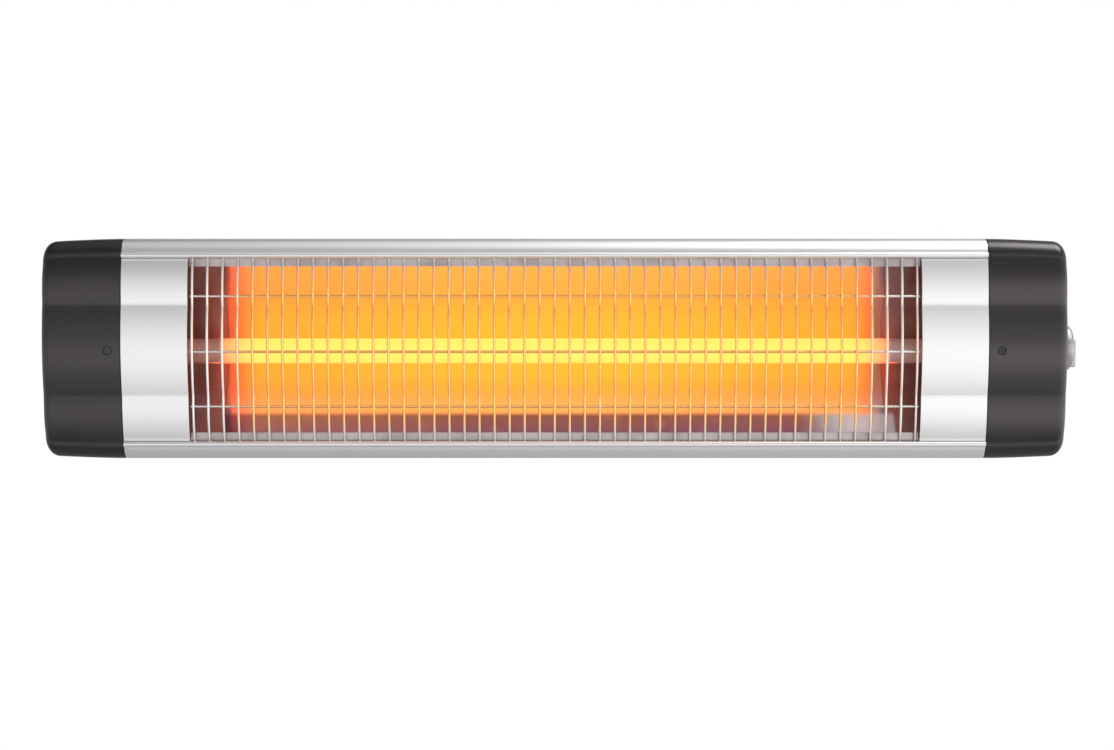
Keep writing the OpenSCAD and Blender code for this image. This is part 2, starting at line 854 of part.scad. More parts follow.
// ---------- wiring in the right-hand end ----------
block_x = bulkhead_x + bulkhead_t + fit_gap;
block_d = casing_d/2;
block_in = 34;
block_z = block_in - half_h;
block_size = [20, 36, 16];
block_screw_r = 2.6;
block_screw_l = 5;
block_hole_r = block_screw_r + 0.4;
block_pitch = 12;
screw_z = block_z + head_gap;
lead_end_z = screw_z + block_screw_l + fit_gap;
module at_block_screws()
    for (y = [-block_pitch, 0, block_pitch])
        translate([block_x + block_size[0]/2, front_y + block_d + y, 0])
            children();
module terminal_block()
    color(ceramic)
        difference() {
            translate([block_x, front_y + block_d - block_size[1]/2, block_z - block_size[2]/2])
                cube(block_size);
            at_block_screws()
                translate([0, 0, block_z])
                    cylinder(r = block_hole_r, h = block_size[2]/2 + cut, $fn = 32);
        }
module terminal_screws()
    color(brass)
        at_block_screws()
            translate([0, 0, screw_z])
                cylinder(r = block_screw_r, h = block_screw_l, $fn = 32);
cutout_d = casing_d - 28;
cutout_z = half_h - 56;
cutout_r = 8;
cutout_h = 9;
cutout_tab = [8, 4, 12];
module thermal_cutout()
    color([0.75, 0.75, 0.78])
        translate([block_x, front_y + cutout_d, cutout_z])
            union() {
                tube_x(cutout_r, 0, cutout_h);
                translate([cutout_h - cut, -cutout_tab[1]/2, -cutout_tab[2]/2])
                    cube(cutout_tab);
            }

// A lead with rounded section along a list of points
lead_r = 1.4;
lead_sides = 6;
function lead_tangent(p, i) = unit(p[min(i + 1, len(p) - 1)] - p[max(i - 1, 0)]);
module lead(points)
    let(ref = [0.31, 0.87, 0.38], n = lead_sides, last = len(points) - 1,
        rings = [for (i = [0:last])
            let(t = lead_tangent(points, i), u = unit(cross(t, ref)), v = cross(t, u))
            for (k = [0:n - 1]) points[i] + lead_r*(cos(360*k/n)*u + sin(360*k/n)*v)])
        polyhedron(points = rings, faces = concat(
            [[for (k = [n - 1:-1:0]) k]], [[for (k = [0:n - 1]) last*n + k]],
            [for (i = [0:last - 1], k = [0:n - 1]) [i*n + k, i*n + (k + 1)%n, (i + 1)*n + (k + 1)%n]],
            [for (i = [0:last - 1], k = [0:n - 1]) [i*n + k, (i + 1)*n + (k + 1)%n, (i + 1)*n + k]]));

tube_y = front_y + tube_d;
run_y = front_y + lead_holes[0][0];
run_z = lead_holes[0][1];
knob_y = front_y + knob_d;
terminal_x = block_x + block_size[0]/2;
neutral_y = front_y + block_d;
live_y = neutral_y - block_pitch;
earth_y = neutral_y + block_pitch;
module lead_left()
    color([0.9, 0.9, 0.88])
        lead([[-pin_x - 0.1, tube_y, tube_z], [-bulkhead_x - 8, tube_y, tube_z],
            [-bulkhead_x - 14, tube_y + 6, 3], [-bulkhead_x - 16, tube_y + 18, 9],
            [-bulkhead_x - 12, run_y - 3, run_z - 1], [-bulkhead_x - 6, run_y, run_z],
            [bulkhead_x + 6, run_y, run_z], [bulkhead_x + 20, run_y - 2, run_z - 2],
            [bulkhead_x + 30, knob_y + 18, 6], [switch_x0 - 4, knob_y + 8, 4],
            [switch_x0 - 0.4, knob_y + 8, 4]]);
module lead_right()
    color([0.9, 0.9, 0.88])
        lead([[pin_x + 0.1, tube_y, tube_z], [bulkhead_x + 8, tube_y, tube_z],
            [bulkhead_x + 13, tube_y - 2, tube_z - 4], [bulkhead_x + 15, tube_y - 4, -20],
            [terminal_x + 1.4, neutral_y, block_z + 18], [terminal_x, neutral_y, block_z + 12],
            [terminal_x, neutral_y, lead_end_z]]);
module lead_switch()
    color([0.45, 0.25, 0.15])
        lead([[switch_x0 - 0.8, knob_y - 8, -6], [switch_x0 - 5, knob_y - 9, -8],
            [switch_x0 - 10, knob_y - 10, -20], [terminal_x + 3.5, live_y, block_z + 18],
            [terminal_x, live_y, block_z + 12], [terminal_x, live_y, lead_end_z]]);
module lead_earth()
    color([0.35, 0.55, 0.2])
        lead([[block_x, earth_y + 14, block_z + 22], [block_x + 6, earth_y + 14, block_z + 22],
            [terminal_x, earth_y + 6, block_z + 19], [terminal_x, earth_y + 1, block_z + 14],
            [terminal_x, earth_y, block_z + 10], [terminal_x, earth_y, lead_end_z]]);

// ---------- cable gland ----------
gland_in = 36;
gland_x = half_w - gland_in;
gland_z = -20;
gland_across = 22;
// How far the thread reaches into the end cap and out of it
gland_tail = 7;
gland_reach = 14;
gland_flange_t = 6;
// Depth of the seat that the seal is pressed into
seal_seat = 4;
seal_t = 1.4;
cord_gap = 0.5;
locknut_t = 4.3;
locknut_gap = 0.2;
nut_cover = 1;
nut_end_r = 9.5;
nut_end_t = 5;
nut_end = gland_reach + nut_cover + nut_end_t;
module at_gland()
    translate([gland_x, front_y + casing_d, gland_z])
        children();
module gland_hex(y0, y1)
    translate([0, y1, 0])
        rotate([90, 0, 0])
            cylinder(r = gland_across/sqrt(3), h = y1 - y0, $fn = 6);
module gland_body()
    color(charcoal)
        at_gland()
            difference() {
                union() {
                    rod_y(gland_thread_r, -cap_t - gland_tail, gland_reach);
                    gland_hex(head_gap, gland_flange_t);
                }
                rod_y(gland_bore_r + seal_t + head_gap, seal_seat, gland_reach + cut);
                rod_y(gland_bore_r + cord_gap, -cap_t - gland_tail - cut, seal_seat + cut);
            }
module gland_locknut()
    color(charcoal)
        at_gland()
            difference() {
                gland_hex(-cap_t - locknut_gap - locknut_t, -cap_t - locknut_gap);
                rod_y(gland_thread_r + run_gap, -cap_t - locknut_gap - locknut_t - cut, cut);
            }
module gland_seal()
    color([0.1, 0.1, 0.1])
        at_gland()
            difference() {
                rod_y(gland_bore_r + seal_t, seal_seat + head_gap, gland_reach);
                rod_y(gland_bore_r, seal_seat - cut, gland_reach + cut);
            }
module gland_nut()
    color(charcoal)
        at_gland()
            difference() {
                union() {
                    gland_hex(gland_flange_t + fit_gap, gland_reach + nut_cover);
                    rod_y(nut_end_r, gland_reach, nut_end);
                }
                rod_y(gland_thread_r + run_gap, gland_flange_t - cut, gland_reach + fit_gap);
                rod_y(gland_bore_r + cord_gap, gland_reach, nut_end + cut);
            }

wall_plate_left();
wall_plate_right();
pivot_bolts();
pivot_nuts();
pivot_washers();
tilt_arm_left();
tilt_arm_right();
arm_bolts();
arm_nuts();
casing_top();
casing_bottom();
casing_back();
front_cover_left();
front_cover_right();
end_cap_left();
end_cap_right();
end_gasket_left();
end_gasket_right();
cap_screws_front();
cap_screws_rear();
guard_wires();
guard_cross_wires();
guard_rail_top();
guard_rail_bottom();
reflector();
reflector_end_left();
reflector_end_right();
bulkhead_left();
bulkhead_right();
bulkhead_rivets();
quartz_tube();
heating_element();
tube_socket_left();
tube_socket_right();
lamp_holder_left();
lamp_holder_right();
holder_screws();
switch_body();
switch_nut();
knob_pad();
switch_knob();
switch_shaft();
terminal_block();
terminal_screws();
thermal_cutout();
lead_left();
lead_right();
lead_switch();
lead_earth();
gland_body();
gland_locknut();
gland_seal();
gland_nut();
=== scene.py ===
import math

import bmesh
import bpy
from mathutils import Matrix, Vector


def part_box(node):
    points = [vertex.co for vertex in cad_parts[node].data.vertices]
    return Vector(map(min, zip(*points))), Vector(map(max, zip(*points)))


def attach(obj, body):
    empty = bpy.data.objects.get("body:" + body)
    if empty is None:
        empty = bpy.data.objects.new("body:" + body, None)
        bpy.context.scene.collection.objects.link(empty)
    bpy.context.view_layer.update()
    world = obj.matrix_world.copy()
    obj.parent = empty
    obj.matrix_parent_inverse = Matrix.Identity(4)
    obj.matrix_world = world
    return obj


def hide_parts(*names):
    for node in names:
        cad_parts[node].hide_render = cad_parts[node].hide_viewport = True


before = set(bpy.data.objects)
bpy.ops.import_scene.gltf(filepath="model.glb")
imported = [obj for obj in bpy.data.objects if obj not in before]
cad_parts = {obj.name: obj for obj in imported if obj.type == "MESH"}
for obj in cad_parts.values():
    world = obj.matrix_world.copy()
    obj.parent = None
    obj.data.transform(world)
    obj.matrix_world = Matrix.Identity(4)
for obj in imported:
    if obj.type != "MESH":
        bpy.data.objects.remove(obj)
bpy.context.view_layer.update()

# Sizes in millimetres. Depths run from the crest of the front towards the wall.
MM = 0.001
FRONT_Y = -173.0
HALF_H = 96.0
CASING_D = 88.0
HALF_BACK = 60.0
SLOPE_START_D = 50.0
SHELL_T = 2.0
SEAM_X = 376.0
SHELL_END_X = 375.5
CAP_X0 = 376.5
CAP_END_X = 445.0
WINDOW_X = 318.0
CREASE_D, CREASE_Z = 4.9, 40.0
LIP_D, LIP_Z = 11.3, 81.5
LOBE_BULGE = 2.0
SHOULDER_D = 14.7
BEAD_D, BEAD_Z, BEAD_R = 10.6, 82.2, 2.6
WINDOW_Z = BEAD_Z - BEAD_R
LEDGE_D, LEDGE_T, LEDGE_Z = 17.8, 2.0, 78.5
PANEL_Z, TONGUE_H = 55.0, 6.0
WIRE_R, WIRE_PITCH, WIRE_BACK = 1.2, 13.1, 2.2
WIRE_COUNT = 49
WIRE_LEG_Z = 83.9
CROSS_WIRE_Z, CROSS_WIRE_DROP = 48.0, 1.2
REFLECTOR_VERTEX_D, REFLECTOR_T = 70.0, 0.8
RIM_D, RIM_Z, FLANGE_D, FLANGE_TOP = 20.3, 74.6, 20.1, 85.6
GLOW_X = 293.0
CAP_EDGE_R, CAP_CORNER_R, CAP_DROP, CAP_WALL = 8.0, 12.0, 1.8, 2.8
SCREW_X, REAR_SCREW_Z = SEAM_X + 11, 45
SHAFT_D, GLAND_X, GLAND_Z = 44, 409, -20
TILT_R, TILT_HEX, TILT_HEAD_H, TILT_THREAD = 4.0, 13.0, 5.0, 13.0
ARM_R, ARM_HEX, ARM_HEAD_H, ARM_THREAD = 3.0, 10.0, 2.5, 7.5
BORE_GAP = 0.05
ACROSS, DEEP = (1.0, 0.0, 0.0), (0.0, 1.0, 0.0)

# Places in metres where the painted light and shade change: the pans' inner ends and the reflector's lower
# lip.
PAN_X = 0.297
LIP_FROM, LIP_TO = 0.0555, 0.0605


# ---- node trees
def arithmetic(operation, swapped=False):
    """A method of Value that adds a Math node."""
    def method(self, other=0.0):
        first, second = (other, self) if swapped else (self, other)
        return self.graph.add("Math", {0: first, 1: second}, operation=operation)
    return method


class Value:
    """An output socket whose arithmetic adds Math nodes."""

    def __init__(self, graph, socket):
        self.graph, self.socket = graph, socket

    __add__ = __radd__ = arithmetic("ADD")
    __sub__, __rsub__ = arithmetic("SUBTRACT"), arithmetic("SUBTRACT", True)
    __mul__ = __rmul__ = arithmetic("MULTIPLY")
    __pow__, __abs__ = arithmetic("POWER"), arithmetic("ABSOLUTE")

    def of(self, name):
        """Another output of the same node."""
        return Value(self.graph, self.socket.node.outputs[name])

    def rise(self, low, high):
        """0 below low, 1 above high and a smooth step between them."""
        return self.graph.add("MapRange", {"Value": self, "From Min": low, "From Max": high},
                              interpolation_type="SMOOTHSTEP")


class Graph:
    """A node tree that is being built."""

    def __init__(self, tree):
        self.tree = tree
        tree.nodes.clear()

    def add(self, kind, sockets, out=0, **settings):
        """Adds a node, sets it up, then feeds its sockets. Colours have three values."""
        node = self.tree.nodes.new(kind if "Node" in kind else "ShaderNode" + kind)
        for name, value in settings.items():
            setattr(node, name, value)
        for name, value in sockets.items():
            socket = node.inputs[name]
            if isinstance(value, Value):
                self.tree.links.new(value.socket, socket)
            else:
                socket.default_value = (*value, 1.0) if socket.type == "RGBA" else value
        return Value(self, node.outputs[out]) if node.outputs else node

    def blend(self, mask, first, second):
        """A colour that goes from first to second as mask goes from 0 to 1."""
        return self.add("Mix", {0: mask, 6: first, 7: second}, 2, data_type="RGBA")


class Finish(Graph):
    """A material on Object coordinates."""

    def __init__(self, name):
        self.material = bpy.data.materials.new(name)
        self.material.use_nodes = True
        super().__init__(self.material.node_tree)
        self.place = self.add("TexCoord", {}, "Object")

    def noise(self, scale, detail=2.0, vector=None, roughness=0.5):
        return self.add("TexNoise", {
            "Vector": vector or self.place, "Scale": scale, "Detail": detail, "Roughness": roughness})

    def drawn(self, scales, detail=3.0, roughness=0.5):
        """Noise with a scale of its own along each axis."""
        place = self.add("Mapping", {"Vector": self.place, "Scale": scales})
        return self.noise(1.0, detail, place, roughness)

    def spots(self, scale):
        return self.add("TexVoronoi", {"Vector": self.place, "Scale": scale})

    def cells(self, scale):
        """A chance shade for each cell of the spots."""
        colour = self.spots(scale).of("Color")
        return self.add("SeparateColor", {"Color": colour})

    def bands(self, direction, scale, distortion):
        return self.add("TexWave", {
            "Vector": self.place, "Scale": scale, "Distortion": distortion, "Detail": 1.0},
            wave_type="BANDS", bands_direction=direction)

    def axes(self):
        split = self.add("SeparateXYZ", {"Vector": self.place})
        return split, split.of("Y"), split.of("Z")

    def bump(self, height, depth, strength=1.0):
        return self.add("Bump", {"Height": height, "Distance": depth, "Strength": strength})

    def surface(self, **sockets):
        named = {name.replace("_", " "): value for name, value in sockets.items()}
        shader = self.add("BsdfPrincipled", named)
        self.add("OutputMaterial", {"Surface": shader})
        return self.material


def anodised_aluminium(name, colour, roughness):
    """Satin aluminium with the fine drawing lines of an extrusion along X."""
    f = Finish(name)
    lines = f.drawn((2.5, 620.0, 620.0), 4.0, 0.65)
    coarse = f.drawn((1.2, 90.0, 90.0), 2.0)
    clouds = f.noise(9.0, 3.0)
    dull = tuple(0.93 * c for c in colour)
    return f.surface(
        Base_Color=f.blend(lines * 0.5 + clouds * 0.3, colour, dull), Metallic=1.0,
        Roughness=roughness - 0.06 + lines * 0.07 + clouds * 0.05,
        Normal=f.bump(lines * 0.6 + coarse * 0.4, 0.00003, 0.35))


def mill_aluminium(name, colour, stained):
    """Aluminium as rolled, with light stains."""
    f = Finish(name)
    lines = f.drawn((6.0, 400.0, 400.0), 3.0, 0.6)
    stains = f.noise(40.0, 4.0)
    return f.surface(
        Base_Color=f.blend(stains.rise(0.35, 0.7), colour, stained),
        Metallic=1.0, Roughness=0.30 + lines * 0.16, Normal=f.bump(lines, 0.00004, 0.4))


def black_plastic(name, dark, pale, roughness, depth, level, painted_sheen=None):
    """Black moulded plastic with a fine sparked grain, and a painted highlight where the given mask says
    so.
    """
    f = Finish(name)
    fine = f.noise(1500.0, 2.0)
    pits = f.spots(850.0)
    clouds = f.noise(22.0, 3.0)
    colour = f.blend(clouds * 0.6 + fine * 0.3, dark, pale)
    # Painted highlight: a lighter colour where the mask is high, standing in for the sheen of light on the
    # plastic.
    if painted_sheen:
        colour = f.blend(painted_sheen(f) * (0.85 + clouds * 0.15), colour, (0.046, 0.040, 0.045))
    return f.surface(
        Base_Color=colour, Roughness=roughness + clouds * 0.05 + fine * 0.05,
        Specular_Tint=(1.0, 0.93, 0.98), Specular_IOR_Level=level,
        Normal=f.bump(fine * 0.5 + pits * 0.5, depth, 0.3))


def painted_crest_sheen(f):
    """Painted highlight on the caps: a lighter colour along the crests of their three lobes, stronger on
    the right and only on the front.
    """
    x, y, z = f.axes()
    crest = 0.0
    for height in (-0.058, -0.006, 0.050):
        crest = crest + (1.0 - abs(z - height).rise(0.002, 0.020))
    # Stronger on the right, where the light comes from, and only on the front faces.
    return crest * (0.0 - y).rise(0.150, 0.164) * (0.45 + 0.55 * x.rise(-0.1, 0.1))


def gasket_rubber():
    """Black rubber with a greyish bloom."""
    f = Finish("black gasket rubber")
    fine = f.noise(900.0, 3.0)
    bloom = f.noise(60.0, 3.0).rise(0.4, 0.8)
    return f.surface(Base_Color=f.blend(bloom, (0.022, 0.022, 0.022), (0.0496, 0.0496, 0.0496)),
                     Roughness=0.62 + fine * 0.2, Normal=f.bump(fine, 0.00005, 0.4))


def plated_steel(name, colour, tint, roughness):
    """Zinc plating: soft crystals, a passivated tint and light scratches."""
    f = Finish(name)
    shade = f.cells(130.0)
    clouds = f.noise(28.0, 4.0)
    scratches = f.drawn((900.0, 35.0, 35.0), 5.0, 0.7)
    return f.surface(
        Base_Color=f.blend(clouds.rise(0.35, 0.7) * 0.6 + shade * 0.12, colour, tint), Metallic=1.0,
        Roughness=roughness - 0.06 + shade * 0.05 + scratches * 0.10,
        Normal=f.bump(scratches * 0.5 + clouds * 0.5, 0.00004, 0.3))


def guard_wire():
    """Bright drawn wire, with the orange glow light painted into its colour in front of the glowing tube.
    """
    f = Finish("bright guard wire")
    x, _, z = f.axes()
    # Painted glow light: the wire turns orange where it passes in front of the lit span of the tube.
    hot = 1.0 - abs(x).rise(0.255, 0.300)
    centre = 1.0 - abs(z).rise(0.055, 0.080)
    patches = f.noise(30.0, 3.0)
    lines = f.drawn((900.0, 900.0, 60.0))
    return f.surface(
        Base_Color=f.blend(hot * centre * (0.75 + patches * 0.5), (0.86, 0.82, 0.80), (1.0, 0.57, 0.20)),
        Metallic=1.0, Roughness=0.22 + lines * 0.12, Normal=f.bump(lines, 0.00002, 0.3))


def polished_reflector():
    """Rolled bright sheet with painted light: a golden and orange painted reflection of the glow, painted
    shade past its ends, and a painted dark reflection along the lower lip that turns to a painted white
    reflection at the right.
    """
    f = Finish("polished reflector")
    x, y, z = f.axes()
    rolling = f.drawn((260.0, 5.0, 5.0), 3.0, 0.6)
    waves = f.drawn((9.0, 26.0, 26.0), 1.0)
    haze = f.noise(45.0, 4.0)
    # Painted reflection of the glow: golden in the middle, redder towards the ends and the rims.
    outwards = abs(x).rise(0.05, 0.27)
    middle = f.blend(outwards, (0.84, 0.80, 0.56), (0.84, 0.69, 0.57))
    rim = f.blend(outwards, (0.84, 0.59, 0.60), (0.84, 0.50, 0.60))
    painted_glow_reflection = f.blend(abs(z).rise(0.022, 0.056), middle, rim)
    painted_glow_reflection = f.blend(abs(x).rise(0.264, 0.298), painted_glow_reflection, (0.78, 0.46, 0.42))
    # Painted shade past the glow's ends: grey-blue on the left, bluer on the right.
    dull = f.blend(x.rise(-0.1, 0.1), (0.39, 0.39, 0.47), (0.29, 0.50, 0.82))
    # The painted shadow's edge slants outwards towards the back.
    shadow_edge_slant = haze * 0.003 - y * 0.1365
    painted_shade_past_glow = (shadow_edge_slant + x).rise(0.295, 0.303) + (shadow_edge_slant - x).rise(0.3035, 0.308)
    # Lower lip: a painted dark purple reflection, turning to a painted white reflection of the soft box at
    # the right end.
    lip = f.blend((0.0 - x).rise(0.05, 0.22), (0.183, 0.123, 0.270), (0.245, 0.162, 0.297))
    clean_and_painted_glint = (x + haze * 0.02).rise(0.222, 0.264)
    tip = x.rise(0.240, 0.272)
    lip = f.blend(clean_and_painted_glint, lip, f.blend(tip, (0.34, 0.56, 1.0), (0.74, 0.84, 1.0)))
    below = (0.0 - z).rise(LIP_FROM, LIP_TO)
    colour = f.blend(below, f.blend(painted_shade_past_glow, painted_glow_reflection, dull), lip)
    # Metallic drops in the painted white patch so that it takes up the studio light.
    return f.surface(
        Base_Color=f.blend(haze.rise(0.5, 0.85) * 0.25, colour, (0.60, 0.46, 0.36)),
        Metallic=1.0 - below * clean_and_painted_glint * (0.5 + tip * 0.4),
        Roughness=0.09 + rolling * 0.06 + haze * 0.05,
        Normal=f.bump(rolling * 0.15 + waves * 0.85, 0.00025, 0.35))


def scorched_steel():
    """Steel with painted light and shade: a dark reddish brown that stands in for the dim glow light,
    darker towards the outer ends, a painted grey sheen at the upper right and a painted white reflection at
    the lower right.
    """
    f = Finish("scorched steel")
    x, _, z = f.axes()
    blotches = f.noise(38.0, 4.0)
    brushed = f.drawn((420.0, 12.0, 12.0), 4.0, 0.6)
    # Painted dim glow light: reddish brown, darker past the pans' inner ends where the shade falls; the
    # blotches vary it at random.
    brown = f.blend(abs(x).rise(PAN_X, 0.345), (0.46, 0.23, 0.20), (0.36, 0.21, 0.20))
    brown = f.blend(blotches.rise(0.35, 0.75), brown, (0.50, 0.33, 0.30))
    # Painted grey sheen at the upper right.
    painted_grey_sheen = x.rise(-0.1, 0.1) * (1.0 - x.rise(0.304, 0.314)) * z.rise(-0.01, 0.03)
    brown = f.blend(painted_grey_sheen, brown, (0.43, 0.36, 0.40))
    # Painted white reflection at the lower right, along the lower lip, with metallic lowered there.
    clean_and_painted_glint = (0.0 - z).rise(LIP_FROM, LIP_TO) * x.rise(0.1, 0.2) * (1.0 - x.rise(PAN_X, 0.301))
    return f.surface(
        Base_Color=f.blend(clean_and_painted_glint, brown, (0.74, 0.84, 0.96)),
        Metallic=0.85 - clean_and_painted_glint * 0.6, Roughness=0.36 + blotches * 0.18 + brushed * 0.08,
        Normal=f.bump(brushed, 0.00006, 0.5))


def milky_quartz():
    """Milky quartz that glows over the element; painted glow light colours it orange there and a dull pink
    at its cold ends, darker on the left.
    """
    f = Finish("milky quartz")
    x, y, z = f.axes()
    low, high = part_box("quartz_tube")
    behind = ((y - (low.y + high.y) / 2) - (z - (low.z + high.z) / 2) * 0.22).rise(-0.005, -0.0015)
    end = GLOW_X * MM + behind * 0.010
    lit = 1.0 - (abs(x) - end + f.noise(120.0, 2.0) * 0.004).rise(-0.002, 0.006)
    turns = f.bands("X", 53.0, 0.6)
    streaks = f.drawn((4.0, 240.0, 240.0))
    near_end = abs(x).rise(0.262, 0.298)
    front = f.blend(turns * 0.10 + streaks * 0.08, (1.0, 0.455, 0.030), (1.0, 0.40, 0.020))
    front = f.blend(near_end, front, (1.0, 0.15, 0.055))
    back = f.blend(near_end, (0.85, 0.335, 0.012), (0.85, 0.11, 0.035))
    # Painted glow light on the cold ends: pink, darker on the left side.
    cold = f.blend(x.rise(-0.1, 0.1), (0.60, 0.30, 0.27), (0.68, 0.47, 0.42))
    glow = f.blend(behind, front, back)
    # Painted glow light: an orange base over the glowing span and a faint red emission at the cold ends.
    return f.surface(
        Base_Color=f.blend(lit, cold, (0.55, 0.35, 0.20)),
        Roughness=0.16 + streaks * 0.12, Coat_Weight=0.1,
        Emission_Color=f.blend(lit, (0.035, 0.010, 0.007), glow), Emission_Strength=1.6,
        Normal=f.bump(streaks, 0.00003, 0.3))


def hot_wire():
    """Oxidised resistance wire that glows between the tube's cold ends."""
    f = Finish("hot resistance wire")
    lit = 1.0 - abs(f.axes()[0]).rise(0.286, 0.296)
    scale = f.noise(700.0, 3.0)
    return f.surface(
        Base_Color=f.blend(scale, (0.42, 0.36, 0.33), (0.30, 0.24, 0.22)), Metallic=0.7,
        Roughness=0.42 + scale * 0.2,
        Emission_Color=f.blend(lit, (0.0, 0.0, 0.0), (1.0, 0.52, 0.10)), Emission_Strength=1.5)


def ceramic():
    """White steatite, smoked towards the tube."""
    f = Finish("white ceramic")
    grains = f.noise(650.0, 3.0)
    stains = f.noise(35.0, 4.0)
    smoked = (1.0 - abs(f.axes()[0]).rise(0.320, 0.340)) * 0.6
    clean_and_painted_glint = f.blend(stains.rise(0.4, 0.8), (0.88, 0.86, 0.81), (0.78, 0.74, 0.67))
    return f.surface(Base_Color=f.blend(smoked, clean_and_painted_glint, (0.52, 0.40, 0.33)),
                     Roughness=0.55 + grains * 0.2, Normal=f.bump(grains, 0.00006, 0.5))


def lacquered_knob():
    """Silver-lacquered plastic with a fine metallic flake and a pale pointer line."""
    f = Finish("silver lacquer")
    x, y, z = f.axes()
    sparkle = f.cells(2600.0)
    worn = f.noise(70.0, 4.0)
    beside = abs(y - (FRONT_Y + SHAFT_D) * MM)
    line = (1.0 - beside.rise(0.0006, 0.0009)) * (z.rise(-0.0005, 0.0) - z.rise(0.0065, 0.007))
    line = line * x.rise(0.4590, 0.4593)
    silver = f.blend(worn * 0.5 + sparkle * 0.4, (0.46, 0.45, 0.47), (0.36, 0.35, 0.37))
    return f.surface(Base_Color=f.blend(line, silver, (0.92, 0.92, 0.90)),
                     Metallic=0.75 - line * 0.7, Roughness=0.27 + sparkle * 0.14 + worn * 0.06,
                     Coat_Weight=0.4, Normal=f.bump(sparkle, 0.00001, 0.3))


def brass():
    """Nickelled brass with turning marks."""
    f = Finish("nickelled brass")
    clouds = f.noise(90.0, 4.0)
    marks = f.drawn((60.0, 900.0, 900.0))
    return f.surface(Base_Color=f.blend(clouds.rise(0.3, 0.8), (0.80, 0.64, 0.33), (0.62, 0.46, 0.22)),
                     Metallic=1.0, Roughness=0.26 + marks * 0.14, Normal=f.bump(marks, 0.00003, 0.4))


def sleeved_lead(name, colour):
    """Silicone sleeve with a faint braid showing through."""
    f = Finish(name + " silicone sleeve")
    braid = f.bands("DIAGONAL", 260.0, 1.0)
    grime = f.noise(50.0, 3.0)
    dark = tuple(0.72 * c for c in colour)
    return f.surface(Base_Color=f.blend(grime.rise(0.4, 0.8) * 0.7, colour, dark),
                     Roughness=0.44 + braid * 0.12, Normal=f.bump(braid, 0.00005, 0.3))


ALUMINIUM = anodised_aluminium("satin aluminium", (0.89, 0.88, 0.885), 0.39)
COVER = anodised_aluminium("satin cover aluminium", (0.91, 0.90, 0.905), 0.37)
MILL = mill_aluminium("mill aluminium", (0.50, 0.45, 0.45), (0.38, 0.33, 0.33))
BACK_SHEET = mill_aluminium("back sheet aluminium", (0.56, 0.56, 0.57), (0.51, 0.51, 0.52))
# The caps carry a painted highlight along their crests.
CAP = black_plastic("black cap plastic", (0.0040, 0.0022, 0.0033), (0.0090, 0.0068, 0.0081),
                    0.24, 0.00005, 0.66, painted_crest_sheen)
BLACK = black_plastic("black nylon", (0.022, 0.022, 0.023), (0.0315, 0.0315, 0.03275), 0.34, 0.00003, 0.5)
GASKET = gasket_rubber()
BLACK_SCREW = plated_steel("black oxide screw", (0.050, 0.048, 0.050), (0.085, 0.080, 0.078), 0.34)
WIRE = guard_wire()
REFLECTOR = polished_reflector()
GLOW_SHADED = scorched_steel()
ZINC = plated_steel("zinc-plated steel", (0.66, 0.67, 0.69), (0.56, 0.56, 0.53), 0.33)
QUARTZ = milky_quartz()
HOT_WIRE = hot_wire()
CERAMIC = ceramic()
KNOB = lacquered_knob()
BRASS = brass()
WHITE_LEAD = sleeved_lead("white", (0.78, 0.78, 0.75))
BROWN_LEAD = sleeved_lead("brown", (0.30, 0.14, 0.07))
GREEN_LEAD = sleeved_lead("green", (0.24, 0.44, 0.12))


# ---- mesh helpers
def at(x, d, z):
    """A point of the heater from millimetres across, in depth and up."""
    return Vector((x, FRONT_Y + d, z)) * MM


def corners_of(node):
    """Low and high corner of a CAD node in millimetres."""
    return [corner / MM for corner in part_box(node)]


def linked(name, data):
    """A new object of the scene."""
    thing = bpy.data.objects.new(name, data)
    bpy.context.scene.collection.objects.link(thing)
    return thing


def merged(mesh, distance=1e-6):
    """A mesh to edit, in which points that lie together are one."""
    shape = bmesh.new()
    shape.from_mesh(mesh)
    bmesh.ops.remove_doubles(shape, verts=shape.verts, dist=distance)
    return shape


def new_object(name, points, faces, finish):
    """A closed mesh with merged points and its faces turned outwards."""
    mesh = bpy.data.meshes.new(name)
    mesh.from_pydata([tuple(p) for p in points], [], faces)
    shape = merged(mesh, 1e-7)
    bmesh.ops.recalc_face_normals(shape, faces=shape.faces)
    shape.to_mesh(mesh)
    shape.free()
    if finish:
        mesh.materials.append(finish)
    return linked(name, mesh)


def settle(piece):
    """Turns the result of a piece's modifiers into its plain mesh."""
    bpy.context.view_layer.update()
    evaluated = piece.evaluated_get(bpy.context.evaluated_depsgraph_get())
    mesh = bpy.data.meshes.new_from_object(evaluated)
    piece.modifiers.clear()
    piece.data = mesh
    return piece


def smooth(piece, angle=30.0):
    """Shades a piece smooth, apart from edges sharper than angle."""
    for polygon in piece.data.polygons:
        polygon.use_smooth = True
    piece.data.set_sharp_from_angle(angle=math.radians(angle))
    return piece


def round_edges(piece, width, segments=2, angle=35.0):
    """Rounds a piece's sharp edges and keeps its broad faces flat."""
    bevel = piece.modifiers.new("edges", "BEVEL")
    bevel.width, bevel.segments = width * MM, segments
    bevel.limit_method, bevel.angle_limit = "ANGLE", math.radians(angle)
    smooth(settle(piece), 50.0)
    flat = piece.modifiers.new("flat faces", "WEIGHTED_NORMAL")
    flat.keep_sharp = True
    return settle(piece)


def fit(piece, slot, *nodes, body="heater"):
    """Fixes a piece to its body and hides the CAD solids that it stands for."""
    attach(piece, body)
    if nodes:
        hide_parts(*nodes)
    return piece


def discard(*objects):
    for thing in objects:
        bpy.data.objects.remove(thing)


